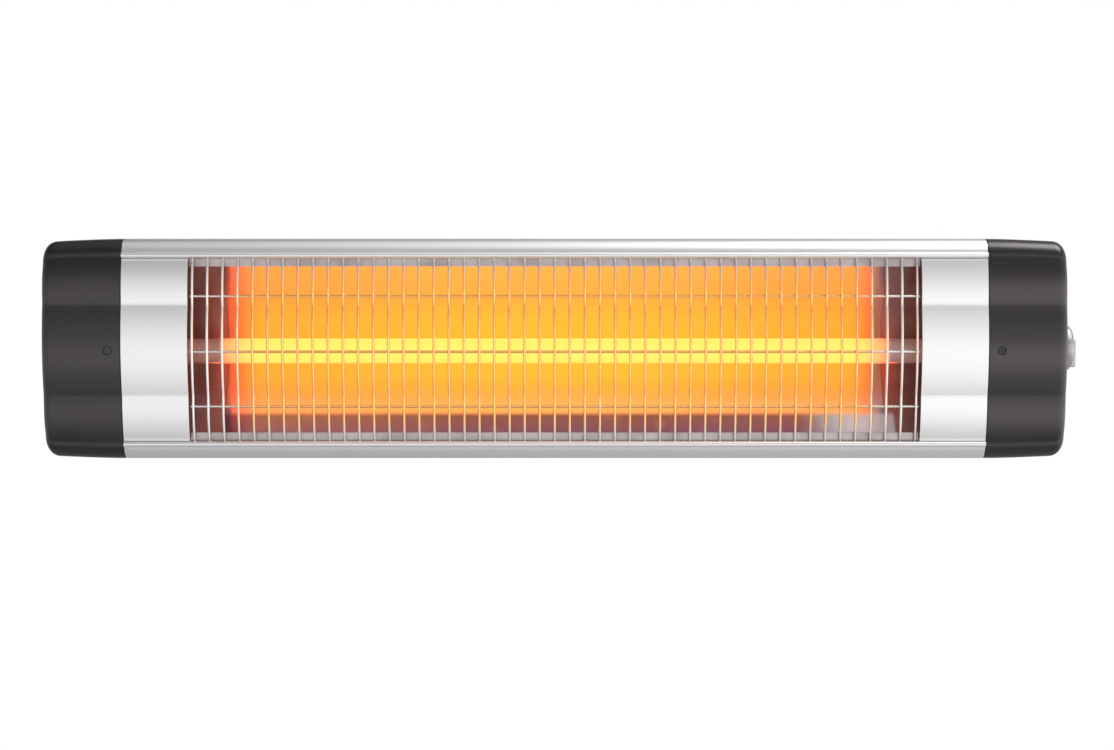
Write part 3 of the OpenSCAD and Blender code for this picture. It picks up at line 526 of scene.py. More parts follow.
def joined(name, pieces):
    """One piece from several, with the finish of the first."""
    shape = bmesh.new()
    for piece in pieces:
        shape.from_mesh(piece.data)
    mesh = bpy.data.meshes.new(name)
    shape.to_mesh(mesh)
    shape.free()
    mesh.materials.append(pieces[0].data.materials[0])
    whole = linked(name, mesh)
    discard(*pieces)
    return whole


def combined(piece, operation, *others):
    """A piece after a Boolean operation with each of the others."""
    for other in others:
        boolean = piece.modifiers.new("combined", "BOOLEAN")
        boolean.operation, boolean.solver, boolean.object = operation, "EXACT", other
    settle(piece)
    discard(*others)
    return piece


def ringed(name, rings, axis, finish, start=(0, 0, 0)):
    """A closed shape from rings of (radius, distance along axis) in millimetres."""
    axis = Vector(axis).normalized()
    side = axis.orthogonal().normalized()
    other = axis.cross(side)
    start = Vector(start)
    steps, points, faces = len(rings[0]), [], []
    for ring in rings:
        for k, (r, h) in enumerate(ring):
            a = math.tau * k / steps
            points.append((start + axis * h + (side * math.cos(a) + other * math.sin(a)) * r) * MM)
    for i, ring in enumerate(rings):
        j = (i + 1) % len(rings)
        if ring[0][0] == 0 and rings[j][0][0] == 0:
            continue
        for k in range(steps):
            m = (k + 1) % steps
            face = [i * steps + k, i * steps + m, j * steps + m, j * steps + k]
            if ring[0][0] == 0:
                del face[1]
            elif rings[j][0][0] == 0:
                del face[3]
            faces.append(face)
    return new_object(name, points, faces, finish)


def turned(name, profile, axis, finish, steps=64, start=(0, 0, 0)):
    """Revolves a closed profile of (radius, distance along axis) in millimetres."""
    return ringed(name, [[place] * steps for place in profile], axis, finish, start)


def bar(r, low, high):
    """Profile of a round bar from low to high."""
    return [(0, low), (r, low), (r, high), (0, high)]


def block(name, low, high, finish):
    """A box between two corners in millimetres."""
    points = [Vector((x, y, z)) * MM for x in (low[0], high[0]) for y in (low[1], high[1])
              for z in (low[2], high[2])]
    faces = [(0, 1, 3, 2), (4, 6, 7, 5), (0, 4, 5, 1), (2, 3, 7, 6), (0, 2, 6, 4), (1, 5, 7, 3)]
    return new_object(name, points, faces, finish)


def drawn_along(name, outline, x0, x1, finish, edge=0.0):
    """Draws a closed outline of (depth, height) along the bar."""
    n = len(outline)
    points = [at(x, d, z) for x in (x0, x1) for d, z in outline]
    faces = [tuple(range(n)), tuple(range(2 * n - 1, n - 1, -1))]
    faces += [(i, (i + 1) % n, n + (i + 1) % n, n + i) for i in range(n)]
    piece = new_object(name, points, faces, finish)
    return round_edges(piece, edge) if edge else smooth(piece)


def eased(node, name, width, finish):
    """A copy of a CAD solid with its edges rounded by width millimetres."""
    shape = merged(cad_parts[node].data)
    bmesh.ops.dissolve_limit(shape, angle_limit=math.radians(0.3), verts=shape.verts, edges=shape.edges)
    points = [v.co.copy() for v in shape.verts]
    faces = [[v.index for v in face.verts] for face in shape.faces]
    shape.free()
    return round_edges(new_object(name, points, faces, finish), width)


# ---- repeated pieces
class Recipe(Graph):
    """A geometry node group with named inputs."""

    def __init__(self, name, **inputs):
        tree = bpy.data.node_groups.new(name, "GeometryNodeTree")
        super().__init__(tree)
        tree.interface.new_socket("Geometry", in_out="INPUT", socket_type="NodeSocketGeometry")
        self.keys = {}
        for label, kind in {**inputs, "Finish": "Material"}.items():
            label = label.replace("_", " ")
            socket = tree.interface.new_socket(label, in_out="INPUT", socket_type="NodeSocket" + kind)
            self.keys[label] = socket.identifier
        tree.interface.new_socket("Geometry", in_out="OUTPUT", socket_type="NodeSocketGeometry")
        self.entry = self.tree.nodes.new("NodeGroupInput")

    def given(self, label):
        return Value(self, self.entry.outputs[label])

    def circle(self, sides, radius):
        return self.add("GeometryNodeCurvePrimitiveCircle", {"Resolution": sides, "Radius": radius})

    def swept(self, path, ring):
        return self.add("GeometryNodeCurveToMesh", {
            "Curve": path, "Profile Curve": ring, "Fill Caps": True})

    def at_points(self, instance, rotation=(0.0, math.pi / 2, 0.0)):
        """An instance on each given point, with its Z axis turned to X unless told otherwise."""
        points = self.add("GeometryNodeMeshToPoints", {"Mesh": self.given("Geometry")})
        return self.add("GeometryNodeInstanceOnPoints", {
            "Points": points, "Instance": instance, "Rotation": rotation})

    def ends_with(self, geometry):
        real = self.add("GeometryNodeRealizeInstances", {"Geometry": geometry})
        painted = self.add("GeometryNodeSetMaterial", {
            "Geometry": real, "Material": self.given("Finish")})
        self.add("NodeGroupOutput", {"Geometry": painted})
        return self

    def make(self, name, points, angle, edges=(), **values):
        """Runs the recipe on a few points and gives the plain piece."""
        mesh = bpy.data.meshes.new(name)
        mesh.from_pydata([tuple(p) for p in points], edges, [])
        piece = linked(name, mesh)
        modifier = piece.modifiers.new(self.tree.name, "NODES")
        modifier.node_group = self.tree
        for label, value in values.items():
            modifier[self.keys[label.replace("_", " ")]] = value
        return smooth(settle(piece), angle)


def wire_row():
    """Sweeps a round wire along a path and repeats it at a spacing along X."""
    r = Recipe("wire row", Radius="Float", Sides="Int", Count="Int", Spacing="Float")
    path = r.add("GeometryNodeMeshToCurve", {"Mesh": r.given("Geometry")})
    wire = r.swept(path, r.circle(r.given("Sides"), r.given("Radius")))
    start = (r.given("Count") - 1.0) * r.given("Spacing") * -0.5
    row = r.add("GeometryNodeMeshLine", {
        "Count": r.given("Count"),
        "Start Location": r.add("CombineXYZ", {"X": start}),
        "Offset": r.add("CombineXYZ", {"X": r.given("Spacing")})})
    return r.ends_with(r.add("GeometryNodeInstanceOnPoints", {"Points": row, "Instance": wire}))


def placed_copies():
    """Puts a copy of a piece on each point, turned about an axis by its own chance angle."""
    r = Recipe("placed copies", Piece="Object", Axis="Vector", Seed="Int")
    piece = r.add("GeometryNodeObjectInfo", {"Object": r.given("Piece"), "As Instance": True}, "Geometry")
    turn = r.add("FunctionNodeRandomValue", {
        "Min": 0.0, "Max": math.tau, "Seed": r.given("Seed")}, 1, data_type="FLOAT")
    spin = r.add("VectorMath", {0: r.given("Axis"), "Scale": turn}, operation="SCALE")
    return r.ends_with(r.at_points(piece, spin))


def ring_of_ribs():
    """Puts ribs round a circle about X, each along X."""
    r = Recipe("ring of ribs", Count="Int", Ring_Radius="Float", Rib_Radius="Float", Length="Float")
    rib = r.add("GeometryNodeMeshCylinder", {"Vertices": 6, "Radius": r.given("Rib Radius"),
                                                 "Depth": r.given("Length")})
    circle = r.circle(r.given("Count"), r.given("Ring Radius"))
    places = r.add("GeometryNodeCurveToPoints", {"Curve": circle}, mode="EVALUATED")
    ribs = r.add("GeometryNodeInstanceOnPoints", {"Points": places, "Instance": rib})
    return r.ends_with(r.at_points(ribs))


def wound_coil():
    """A helix of wire along X."""
    r = Recipe("wound coil", Turns="Float", Coil_Radius="Float", Wire_Radius="Float", Length="Float")
    helix = r.add("GeometryNodeCurveSpiral", {
        "Resolution": 10, "Rotations": r.given("Turns"), "Start Radius": r.given("Coil Radius"),
        "End Radius": r.given("Coil Radius"), "Height": r.given("Length")})
    return r.ends_with(r.at_points(r.swept(helix, r.circle(5, r.given("Wire Radius")))))


# ---- outlines of the casing
def arc(p0, p1, bulge, steps):
    """Points of an arc from p0 to p1 that bulges to the left of its chord."""
    p0, p1 = Vector(p0), Vector(p1)
    chord = (p1 - p0).length
    along = (p1 - p0) / chord
    out = Vector((-along.y, along.x))
    r = (chord * chord / 4 + bulge * bulge) / (2 * bulge)
    centre = (p0 + p1) / 2 - out * (r - bulge)
    half = math.asin(min(1.0, chord / (2 * r)))
    angles = [-half + 2 * half * i / steps for i in range(steps + 1)]
    return [tuple(centre + (out * math.cos(a) + along * math.sin(a)) * r) for a in angles]


def flipped(points):
    """The same points below the middle, in the other order."""
    return [(d, -z) for d, z in reversed(points)]


def lobed_front(inset, steps=22):
    """The three lobes of the front from the bottom lip to the top one."""
    crease, lip = (CREASE_D + inset, CREASE_Z), (LIP_D + inset, LIP_Z)
    upper = arc(crease, lip, LOBE_BULGE, steps)
    middle = arc((crease[0], -CREASE_Z), crease, CREASE_D, 2 * steps)
    return flipped(upper) + middle[1:-1] + upper


def shoulder(inset):
    """The round corner between the front's lip and the top."""
    bulge = (SHOULDER_D - inset) * (1 - math.sqrt(0.5))
    return arc((LIP_D + inset, LIP_Z), (LIP_D + SHOULDER_D, HALF_H - inset), bulge, 20)


def back_corners(inset):
    """Both ends of the slope between the top and the back."""
    slope = math.atan2(HALF_H - HALF_BACK, CASING_D - SLOPE_START_D)
    return [(SLOPE_START_D - inset * math.tan(slope / 2), HALF_H - inset),
            (CASING_D - inset, HALF_BACK - inset * math.tan(math.pi / 4 - slope / 2))]


def profile_outline():
    """Section of the upper profile: bead, shoulder, top, slope, tongue and ledge."""
    fillet, steps, bottom = 0.3, 20, math.radians(270)
    outer = [p for p in shoulder(0) if math.dist(p, (BEAD_D, BEAD_Z)) > BEAD_R + fillet / 2]
    sweep = bottom - math.atan2(outer[0][1] - BEAD_Z, outer[0][0] - BEAD_D)
    angles = [bottom - sweep * i / steps for i in range(steps + 1)]
    bead = [(BEAD_D + BEAD_R * math.cos(a), BEAD_Z + BEAD_R * math.sin(a)) for a in angles]
    inner = shoulder(SHELL_T)[::-1]
    inside_d, tongue_d, ledge_rear = CASING_D - SHELL_T, CASING_D - 2 * SHELL_T, LEDGE_D + LEDGE_T
    back = back_corners(0) + [(CASING_D, PANEL_Z), (inside_d, PANEL_Z), (inside_d, PANEL_Z - TONGUE_H),
                              (tongue_d, PANEL_Z - TONGUE_H), (tongue_d, PANEL_Z + SHELL_T),
                              (inside_d, PANEL_Z + SHELL_T)]
    behind = [p for p in inner if p[0] > ledge_rear + fillet]
    before = [p for p in inner if p[0] < LEDGE_D - fillet]
    ledge = [(ledge_rear, behind[-1][1] - fillet), (ledge_rear, LEDGE_Z), (LEDGE_D, LEDGE_Z),
             (LEDGE_D, before[0][1] + fillet)]
    return (bead + outer + back + back_corners(SHELL_T)[::-1] + behind + ledge + before
            + [(LIP_D + SHELL_T - fillet / 2, WINDOW_Z)])


def cover_outline():
    """Section of a front cover with its two return flanges."""
    gap, corner = 0.3, 0.4
    edge_z, back = WINDOW_Z - gap, LEDGE_D - gap
    inside_z = edge_z - SHELL_T
    outer = [p for p in lobed_front(0) if abs(p[1]) < edge_z - corner]
    inner = [p for p in lobed_front(SHELL_T) if abs(p[1]) < inside_z - corner]
    upper = [(outer[-1][0] + gap / 2, edge_z), (back, edge_z), (back, inside_z),
             (inner[-1][0] + gap, inside_z)]
    return outer + upper + inner[::-1] + flipped(upper)


def bowl_outline():
    """Section of the parabolic reflector with its two flanges."""
    focus, steps = RIM_Z * RIM_Z / (4 * (REFLECTOR_VERTEX_D - RIM_D)), 48
    face, rear = [], []
    for i in range(-steps, steps + 1):
        z = RIM_Z * i / steps
        d = REFLECTOR_VERTEX_D - z * z / (4 * focus)
        out = Vector((1, z / (2 * focus))).normalized() * REFLECTOR_T
        face.append((d, z))
        rear.append((d + out.x, z + out.y))
    top = [(FLANGE_D, RIM_Z), (FLANGE_D, FLANGE_TOP), (FLANGE_D + REFLECTOR_T, FLANGE_TOP),
           (FLANGE_D + REFLECTOR_T, rear[-1][1])]
    return face + top + rear[::-1] + flipped(top)


# ---- casing, covers and caps
def make_casing():
    """Both profiles, the back panel and the covers beside the window."""
    outline = profile_outline()
    for name, node, section in (("casing_profile_top", "casing_top", outline),
                                ("casing_profile_bottom", "casing_bottom", flipped(outline))):
        piece = drawn_along(name, section, -SHELL_END_X, SHELL_END_X, ALUMINIUM)
        fit(piece, "aluminium_shell", node)
    back = eased("casing_back", "casing_back_panel", 0.3, BACK_SHEET)
    fit(back, "aluminium_shell", "casing_back")
    for side, word in ((-1, "left"), (1, "right")):
        ends = sorted((side * WINDOW_X, side * SHELL_END_X))
        piece = drawn_along("cover_" + word, cover_outline(), *ends, COVER, 0.2)
        fit(piece, "cover_aluminium", "front_cover_" + word)


def rounded(r, past):
    """How far a round edge of radius r has fallen, at a distance past its start."""
    return r - math.sqrt(max(0.0, r * r - max(0.0, past) ** 2))


def cap_sections(inset):
    """Rings of an end cap from the seam to its end."""
    corners = shoulder(inset)[1:] + back_corners(inset)
    loop = lobed_front(inset) + corners + flipped(corners)
    corner_x, edge_x = CAP_END_X - CAP_CORNER_R, CAP_END_X - CAP_EDGE_R
    reach, straight, turn = CAP_CORNER_R - inset, 12, 18
    xs = [CAP_X0 + (corner_x - CAP_X0) * i / straight for i in range(straight)]
    xs += [corner_x + reach * math.sin(math.radians(90 * i / turn)) for i in range(turn + 1)]
    middle = CASING_D / 2
    rings = []
    for x in xs:
        part = min(1.0, (x - CAP_X0) / (corner_x - CAP_X0))
        drop = CAP_DROP * part * part * (1.6 - 0.6 * part)
        top = HALF_H - inset - drop - rounded(reach, x - corner_x)
        fall = rounded(CAP_EDGE_R - inset, x - edge_x)
        ring = []
        for d, z in loop:
            if abs(z) > HALF_BACK:
                stretch = (top - HALF_BACK) / (HALF_H - inset - HALF_BACK)
                z = math.copysign(HALF_BACK + (abs(z) - HALF_BACK) * stretch, z)
            from_face = (d if d < middle else CASING_D - d) - inset
            shift = fall * (1 - from_face / (middle - inset))
            ring.append((x, d + shift if d < middle else d - shift, z))
        rings.append(ring)
    return rings


def hole(profile, x, d, z, axis=DEEP):
    """A cutter for a stepped hole at a point of the cap."""
    return turned("hole", profile, axis, CAP, 64, (x, FRONT_Y + d, z))


def make_cap(side, word):
    """A moulded cap: an outer and an inner skin that meet at the seam."""
    outer, inner = cap_sections(0.0), cap_sections(CAP_WALL)
    n = len(outer[0])
    rings = outer[::-1] + inner
    points = [at(side * x, d, z) for ring in rings for x, d, z in ring]
    faces = [(a * n + i, a * n + (i + 1) % n, (a + 1) * n + (i + 1) % n, (a + 1) * n + i)
             for a in range(len(rings) - 1) for i in range(n)]
    faces += [tuple(range(n)), tuple(range((len(rings) - 1) * n, len(rings) * n))]
    cap = new_object("cap_" + word, points, faces, CAP)
    sunk = [(0, -2), (3.9, -2), (3.9, 1.5), (2.1, 1.5), (2.1, 5), (0, 5)]
    cutters = [hole(sunk, side * SCREW_X, 0, 0)]
    cutters += [hole(bar(2.1, -4, 2), side * SCREW_X, CASING_D, z) for z in (-REAR_SCREW_Z, REAR_SCREW_Z)]
    if side > 0:
        cutters += [hole(bar(5.3, -6, 2), CAP_END_X, SHAFT_D, 0, ACROSS),
                    hole(bar(8.3, -5, 2), GLAND_X, CASING_D, GLAND_Z)]
    combined(cap, "DIFFERENCE", *cutters)
    fit(smooth(cap, 38.0), "cap_plastic", "end_cap_" + word)


# ---- guard, reflector and tube
def wire_path():
    """Path of a guard wire: down one leg, over the lobes and back along the other."""
    front = [p for p in lobed_front(WIRE_BACK + WIRE_R, 12) if abs(p[1]) < WIRE_LEG_Z - 2.5]
    d = front[-1][0]
    bend = [(d + 1.0, WIRE_LEG_Z - 0.9), (d + 2.0, WIRE_LEG_Z - 0.1), (d + 3.0, WIRE_LEG_Z)]
    leg = [(LEDGE_D - 0.2, WIRE_LEG_Z)]
    return flipped(bend + leg) + front + bend + leg


def make_guard():
    """The lobed upright wires and the level wires behind them."""
    recipe = wire_row()
    path = [at(0, d, z) for d, z in wire_path()]
    edges = [(i, i + 1) for i in range(len(path) - 1)]
    upright = recipe.make("guard_uprights", path, 60.0, edges, Radius=WIRE_R * MM, Sides=8,
                          Count=WIRE_COUNT, Spacing=WIRE_PITCH * MM, Finish=WIRE)
    fit(upright, "guard_steel", "guard_wires")
    half = WIRE_PITCH * (WIRE_COUNT - 1) / 2 + 2 * WIRE_R
    points, edges = [], []
    for z in (-CROSS_WIRE_Z, 0.0, CROSS_WIRE_Z):
        d = (CREASE_D if z else 0.0) + WIRE_BACK + 3 * WIRE_R + 0.4
        edges.append((len(points), len(points) + 1))
        points += [at(-half, d, z - CROSS_WIRE_DROP), at(half, d, z - CROSS_WIRE_DROP)]
    crossing = recipe.make("guard_crossings", points, 60.0, edges, Radius=WIRE_R * MM, Sides=12,
                           Count=1, Spacing=0.0, Finish=WIRE)
    fit(crossing, "guard_steel", "guard_cross_wires")


def make_reflector():
    """The polished bowl and the pans at its ends, whose colours carry painted glow light and shade."""
    section = bowl_outline()
    low, high = corners_of("reflector")
    piece = drawn_along("reflector_bowl", section, low.x, high.x, REFLECTOR)
    fit(piece, "reflector_polish", "reflector")
    for word in ("left", "right"):
        low, high = corners_of("reflector_end_" + word)
        piece = drawn_along("end_pan_" + word, section, low.x, high.x, GLOW_SHADED)
        fit(piece, "scorched_steel", "reflector_end_" + word)


def make_tube():
    """The quartz sleeve and the coil that glows in it."""
    low, high = corners_of("quartz_tube")
    _, y, z = (low + high) / 2
    half, _, r = (high - low) / 2
    bore, length = r - 1.2, 2 * half
    profile = [(r, 0.5), (r, length - 0.5), (r - 0.3, length), (bore + 0.3, length), (bore, length - 0.5),
               (bore, 0.5), (bore + 0.3, 0), (r - 0.3, 0)]
    sleeve = turned("quartz_sleeve", profile, ACROSS, QUARTZ, 72, (-half, y, z))
    fit(smooth(sleeve), "quartz_glass", "quartz_tube")
    coil_r = 4.2
    coil = wound_coil().make("coil", [Vector((-GLOW_X, y, z)) * MM], 60.0, Turns=190.0,
                             Coil_Radius=coil_r * MM, Wire_Radius=0.7 * MM,
                             Length=2 * GLOW_X * MM, Finish=HOT_WIRE)
    reach = corners_of("heating_element")[1].x - GLOW_X
    rod = [(0, 0), (1.6, 0), (1.6, 5), (0.9, 6), (0.9, reach), (0, reach)]
    disc = bar(coil_r + 0.5, -1.5, 0)
    parts = [coil]
    for side in (-1, 1):
        axis, start = (side, 0, 0), (side * GLOW_X, y, z)
        parts += [turned("rod", rod, axis, HOT_WIRE, 16, start),
                  turned("disc", disc, axis, HOT_WIRE, 24, start)]
    fit(smooth(joined("coiled_element", parts), 40.0), "glowing_element", "heating_element")


# ---- screws, bolts and nuts
def cross_screw(length, dome):
    """A cross-recessed cap screw at the origin with its head towards -Y."""
    head, shank = 3.6, 1.8
    reach, width = head * 0.55, head * 0.11
    profile = [(0, -dome), (reach, -dome * 0.75), (head * 0.9, -dome * 0.15), (head, 0.25), (head, 1.0),
               (shank, 1.0), (shank, length - 1), (shank * 0.6, length), (0, length)]
    screw = turned("screw", profile, DEEP, BLACK_SCREW, 32)
    arms = [block("arm", (-x, -2, -z), (x, 0.55, z), BLACK_SCREW)
            for x, z in ((reach, width), (width, reach))]
    return smooth(combined(screw, "DIFFERENCE", *arms))


def hex_prism(across, height, axis, finish, bore=0.0, start=(0, 0, 0)):
    """A hexagon along an axis, with a 30 degree chamfer turned on both ends."""
    steps, face_r = 48, across * 0.475
    low, high = [], []
    for k in range(steps):
        from_flat = math.radians(k * 360 / steps % 60 - 30)
        r = across / 2 / math.cos(from_flat)
        drop = (r - face_r) * math.tan(math.radians(30))
        low.append((r, drop))
        high.append((r, height - drop))
    rings = [[(bore, 0)] * steps, [(face_r, 0)] * steps, low, high, [(face_r, height)] * steps,
             [(bore, height)] * steps]
    return smooth(ringed("hexagon", rings, axis, finish, start), 20.0)


def bolt(head, r, head_h, length, threaded, axis, pitch, steps):
    """A head, a plain shank and shallow rings for the thread, with a chamfered tip."""
    start, root = length - threaded, r - 0.45
    profile = [(0, start)]
    for i in range(int((threaded - 1) / pitch)):
        h = start + 0.4 + i * pitch
        profile += [(root, h), (r, h + pitch * 0.5)]
    profile += [(root, length - 0.5), (r - 0.9, length), (0, length)]
    shank = turned("shank", bar(r, head_h, start), axis, ZINC, steps)
    thread = turned("thread", profile, axis, ZINC, 32)
    return smooth(joined("bolt", [head, shank, thread]), 32.0)


def tilt_bolt(length):
    head = hex_prism(TILT_HEX, TILT_HEAD_H, ACROSS, ZINC)
    return bolt(head, TILT_R, TILT_HEAD_H, length, TILT_THREAD, ACROSS, 1.25, 40)


def tilt_nut(height):
    return hex_prism(TILT_HEX, height, ACROSS, ZINC, TILT_R + BORE_GAP)


def tilt_washer(thick):
    bore, r = TILT_R + BORE_GAP, 8.0
    profile = [(bore, 0), (r - 0.2, 0), (r, 0.25), (r, thick - 0.25), (r - 0.2, thick), (bore, thick)]
    return smooth(turned("washer", profile, ACROSS, ZINC, 48))


def bracket_bolt(length):
    profile = [(0, 0), (3.5, 0.15), (6, 0.9), (7, 2.1), (7, ARM_HEAD_H), (0, ARM_HEAD_H)]
    head = turned("dome", profile, DEEP, ZINC, 40)
    return bolt(head, ARM_R, ARM_HEAD_H, length, ARM_THREAD, DEEP, 1.0, 32)


def bracket_nut(height):
    return hex_prism(ARM_HEX, height, DEEP, ZINC, ARM_R + BORE_GAP)


def blind_rivet(length):
    """A domed head with the broken mandrel in it, and a swelled tail."""
    profile = [(0, 0), (2.4, 0.2), (3.2, 0.9), (3.1, 1.5), (1.95, 1.7), (1.95, length - 1.2),
               (3.6, length - 1.15), (3.4, length - 0.6), (2.2, length - 0.1), (1.1, length),
               (1.0, length - 0.7), (0, length - 0.7)]
    return smooth(turned("rivet", profile, DEEP, ZINC, 32))


def like_solids(node, axis):
    """Corners of a CAD node's like solids, and how long one is along an axis in millimetres."""
    shape = merged(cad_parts[node].data)
    left, found = set(shape.verts), []
    while left:
        stack = [left.pop()]
        reached = set(stack)
        while stack:
            fresh = {v for edge in stack.pop().link_edges for v in edge.verts} & left
            left -= fresh
            reached |= fresh
            stack += fresh
        found.append([[end(v.co[k] for v in reached) for k in range(3)] for end in (min, max)])
    shape.free()
    found.sort()
    low, high = found[0]
    return found, Vector(axis).dot(Vector(high) - Vector(low)) / MM


def put(recipe, name, piece, places, axis, seed, slot, node, body="heater"):
    """Places copies of a piece for a CAD node, and drops the one they were made from."""
    copies = recipe.make(name, places, 32.0, Piece=piece, Axis=axis, Seed=seed,
                         Finish=piece.data.materials[0])
    discard(piece)
    fit(copies, slot, node, body=body)


def make_cap_screws(recipe):
    """Cap screws in the front, and in the back with their heads the other way."""
    places = [at(side * SCREW_X, 0.5, 0) for side in (-1, 1)]
    put(recipe, "front_cap_screws", cross_screw(10.5, 0.0), places, DEEP, 3,
        "black_screw", "cap_screws_front")
    rear = cross_screw(8.5, 0.6)
    for point in rear.data.vertices:
        point.co.y = -point.co.y
    rear.data.flip_normals()
    places = [at(side * SCREW_X, CASING_D + 1.2, z)
              for side in (-1, 1) for z in (-REAR_SCREW_Z, REAR_SCREW_Z)]
    put(recipe, "rear_cap_screws", rear, places, DEEP, 5, "black_screw", "cap_screws_rear")


def make_zinc_pieces(recipe):
    """Bolts, nuts, washers and rivets, each at the low end of a CAD solid."""
    for name, node, make, axis, seed, *body in (
            ("tilt_bolts", "pivot_bolts", tilt_bolt, ACROSS, 7, "wall_bracket"),
            ("tilt_nuts", "pivot_nuts", tilt_nut, ACROSS, 11, "wall_bracket"),
            ("tilt_washers", "pivot_washers", tilt_washer, ACROSS, 1, "wall_bracket"),
            ("bracket_bolts", "arm_bolts", bracket_bolt, DEEP, 13),
            ("bracket_nuts", "arm_nuts", bracket_nut, DEEP, 17),
            ("blind_rivets", "bulkhead_rivets", blind_rivet, DEEP, 19)):
        solids, length = like_solids(node, axis)
        places = [Vector([low[k] if axis[k] else (low[k] + high[k]) / 2 for k in range(3)])
                  for low, high in solids]
        put(recipe, name, make(length), places, axis, seed, "zinc_steel", node, *body)


def make_holder_bolts():
    """The lamp holders' bolts, with their heads towards the middle."""
    bolts, reach = like_solids("holder_screws", ACROSS)
    profile = [(0, 0), (2.2, 0), (3.2, 0.6), (3.5, 1.4), (3.5, 2), (2, 2), (2, reach - 1), (1.2, reach),
               (0, reach)]
    parts = []
    for low, high in bolts:
        side, inner = (1, low[0]) if low[0] > 0 else (-1, high[0])
        start = Vector((inner, (low[1] + high[1]) / 2, (low[2] + high[2]) / 2)) / MM
        parts.append(turned("screw", profile, (side, 0, 0), ZINC, 28, start))
    fit(smooth(joined("holder_bolts", parts), 32.0), "zinc_steel", "holder_screws")


# ---- knob and gland
def make_knob():
    """A round skirt with a pointer grip, and a knurl round it."""
    low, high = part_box("switch_knob")
    x0, end = low.x / MM, high.x / MM
    y, r = (low.y + high.y) / (2 * MM), (high.y - low.y) / (2 * MM)
    profile = [(8, 2), (8, 0), (r - 0.9, 0), (r - 0.25, 0.25), (r, 0.9), (r, 4.1), (r - 0.3, 4.8),
               (r - 1.0, 5.1), (r - 1.9, 5.2), (r - 2.1, 5.6), (r - 2.5, 6.7), (r - 3.4, 7.0), (0, 7.0),
               (0, 2)]
    skirt = turned("knob_body", profile, ACROSS, KNOB, 96, (x0, y, 0))
    grip = block("grip", (x0 + 3, y - 4.5, -17.5), (end, y + 4.5, 7.5), KNOB)
    for point in grip.data.vertices:
        if point.co.x > (end - 1) * MM:
            point.co.y = y * MM + (point.co.y - y * MM) * 0.78
            point.co.z *= 0.955
    knob = combined(skirt, "UNION", round_edges(grip, 1.4, 4, 30.0))
    fit(smooth(knob, 32.0), "knob_silver", "switch_knob", body="knob")
    ribs = ring_of_ribs().make("knob_knurl", [Vector((x0 + 2.5, y, 0)) * MM], 20.0, Count=60,
                               Ring_Radius=(r - 0.22) * MM, Rib_Radius=0.42 * MM, Length=2.8 * MM,
                               Finish=KNOB)
    fit(ribs, "knob_silver", body="knob")


def make_gland():
    """The gland's nut: a hexagon with a dome that has the cord's hole."""
    low, high = corners_of("gland_nut")
    start = (low.x + high.x) / 2, low.y, (low.z + high.z) / 2
    bore = 8.0 + BORE_GAP
    dome = [(bore, 8.0), (9.8, 8.0), (9.8, 9.4), (9.4, 11.2), (8.6, 12.6), (7.2, 13.5), (5.6, 13.7),
            (4.7, 13.4), (4.5, 12.8), (4.5, 7.7), (bore, 7.7)]
    parts = [hex_prism(22.0, 8.7, DEEP, BLACK, bore, start), turned("dome", dome, DEEP, BLACK, 72, start)]
    fit(smooth(joined("gland_cap", parts), 32.0), "black_plastic", "gland_nut")


# ---- pieces close to their CAD solids
def make_eased():
    """CAD solids whose shape is right and whose edges are only rounded."""
    slots = {ZINC: "zinc_steel", CERAMIC: "ceramic_white", BLACK: "black_plastic", BRASS: "brass_metal",
             GASKET: "gasket_rubber"}
    others = {"wall_plate_left": "wall_bracket", "wall_plate_right": "wall_bracket", "switch_shaft": "knob"}
    pairs = (
        ("wall_plate", "wall_plate", 0.5, ZINC),
        ("tilt_arm", "tilt_arm", 0.5, ZINC),
        ("bulkhead", "bulkhead", 0.25, ZINC),
        ("tube_socket", "ceramic_socket", 0.6, CERAMIC),
        ("lamp_holder", "socket_holder", 0.25, ZINC))
    rows = [(node + "_" + side, name + "_" + side[0], *rest)
            for node, name, *rest in pairs for side in ("left", "right")]
    rows += [
        ("switch_body", "rotary_switch", 0.5, BLACK),
        ("switch_nut", "bush_nut", 0.2, BRASS),
        ("knob_pad", "knob_base", 0.5, BLACK),
        ("switch_shaft", "knob_shaft", 0.3, ZINC),
        ("terminal_block", "wire_block", 0.6, CERAMIC),
        ("terminal_screws", "block_screws", 0.3, BRASS),
        ("thermal_cutout", "overheat_cutout", 0.5, ZINC),
        ("gland_body", "gland_thread", 0.4, BLACK),
        ("gland_locknut", "gland_ring", 0.4, BLACK),
        ("gland_seal", "gland_insert", 0.3, GASKET)]
    for node, name, width, finish in rows:
        fit(eased(node, name, width, finish), slots[finish], node, body=others.get(node, "heater"))


def paint_plain():
    """Finishes for the CAD solids that stay as they are."""
    rows = {"guard_rail_top": MILL, "guard_rail_bottom": MILL, "end_gasket_left": GASKET,
            "end_gasket_right": GASKET, "lead_left": WHITE_LEAD, "lead_right": WHITE_LEAD,
            "lead_switch": BROWN_LEAD, "lead_earth": GREEN_LEAD}
    for node, finish in rows.items():
        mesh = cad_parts[node].data
        mesh.materials.clear()
        mesh.materials.append(finish)


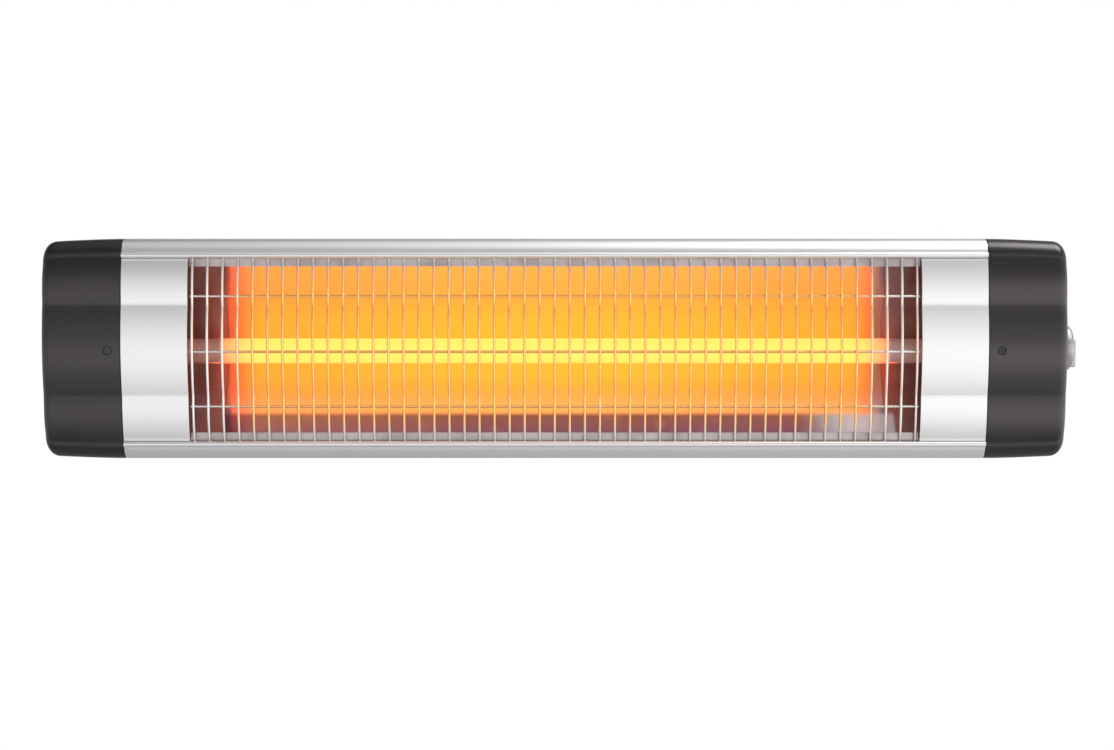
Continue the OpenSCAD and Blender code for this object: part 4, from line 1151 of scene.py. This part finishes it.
# ---- stage
def make_floor():
    """A round pale floor that fades into the white backdrop."""
    radius, height = 1380, -1250
    floor = turned("floor", bar(radius, 0, -10), (0, 0, 1), None, 96, (0, -100, height))
    f = Finish("pale floor")
    x, y, _ = f.axes()
    reach = (x * x + y * y) ** 0.5
    speckle = f.noise(40.0, 3.0)
    paint = f.add("BsdfPrincipled", {
        "Base Color": f.blend(speckle, (0.63, 0.61, 0.62), (0.59, 0.57, 0.58)), "Roughness": 0.7})
    white = f.add("Emission", {"Color": (1.0, 1.0, 1.0), "Strength": 1.0})
    seen = f.add("LightPath", {}, "Is Camera Ray") * (0.72 + 0.28 * reach.rise(0.6, 1.3))
    mixed = f.add("MixShader", {"Fac": seen, 1: paint, 2: white})
    f.add("OutputMaterial", {"Surface": mixed})
    floor.data.materials.append(f.material)


def make_light():
    """A grey studio, brightest just below eye level, which the camera sees as white, and a soft box."""
    world = bpy.data.worlds.new("studio")
    bpy.context.scene.world = world
    world.use_nodes = True
    g = Graph(world.node_tree)
    way = g.add("SeparateXYZ", {"Vector": g.add("TexCoord", {}, "Generated")})
    height, across = way.of("Z"), way.of("X")
    ramp = g.add("ValToRGB", {"Fac": height * 0.5 + 0.5})
    stops = ramp.socket.node.color_ramp.elements
    for degrees in (-90, -60, -48, -40, -32, -24, -16, -8, 0, 8, 16, 24, 32, 40, 48, 56, 64, 90):
        panel = 0.78 * math.exp(-((degrees + 7) / 29) ** 2)
        grey = 0.13 + panel + 0.17 * (degrees > 56) + 0.10 * (degrees < -40)
        place = (math.sin(math.radians(degrees)) + 1) / 2
        stop = stops[0] if degrees == -90 else stops[-1] if degrees == 90 else stops.new(place)
        stop.color = (grey, grey, grey, 1.0)
    ceiling = height.rise(0.60, 0.90) * across.rise(-0.22, 0.04)
    strength = (1.0 + across * 0.36) * (1.36 - 0.42 * way.of("Y").rise(0.1, 0.7))
    sky = g.add("Background", {
        "Color": g.blend(ceiling, ramp, (0.77, 0.77, 0.77)), "Strength": strength})
    white = g.add("Background", {"Color": (1.0, 1.0, 1.0), "Strength": 1.0})
    seen = g.add("LightPath", {}, "Is Camera Ray")
    mixed = g.add("MixShader", {"Fac": seen, 1: sky, 2: white})
    g.add("OutputWorld", {"Surface": mixed})
    lamp = bpy.data.lights.new("soft box", "AREA")
    lamp.shape, lamp.size, lamp.size_y = "RECTANGLE", 1.5, 1.3
    lamp.energy = 38.0
    box = linked("soft box", lamp)
    box.location = (1.35, -0.30, 2.1)
    box.rotation_euler = (Vector((0.0, -0.13, 0.0)) - box.location).to_track_quat("-Z", "Y").to_euler()


def make_camera():
    """Seen square on from two metres, a little above the heater."""
    lens = bpy.data.cameras.new("camera")
    lens.sensor_fit, lens.sensor_width, lens.lens = "HORIZONTAL", 36.0, 74.7
    camera = linked("camera", lens)
    aim = Vector((0.002, -0.173, -0.0209))
    tilt = math.radians(4.3)
    camera.location = aim + 2.0 * Vector((0.0, -math.cos(tilt), math.sin(tilt)))
    camera.rotation_euler = (math.pi / 2 - tilt, 0.0, 0.0)
    bpy.context.scene.camera = camera
    bpy.context.scene.view_settings.view_transform = "Standard"


make_camera()
make_casing()
make_cap(-1, "left")
make_cap(1, "right")
make_guard()
make_reflector()
make_tube()
copier = placed_copies()
make_cap_screws(copier)
make_zinc_pieces(copier)
make_holder_bolts()
make_knob()
make_gland()
make_eased()
paint_plain()
make_floor()
make_light()
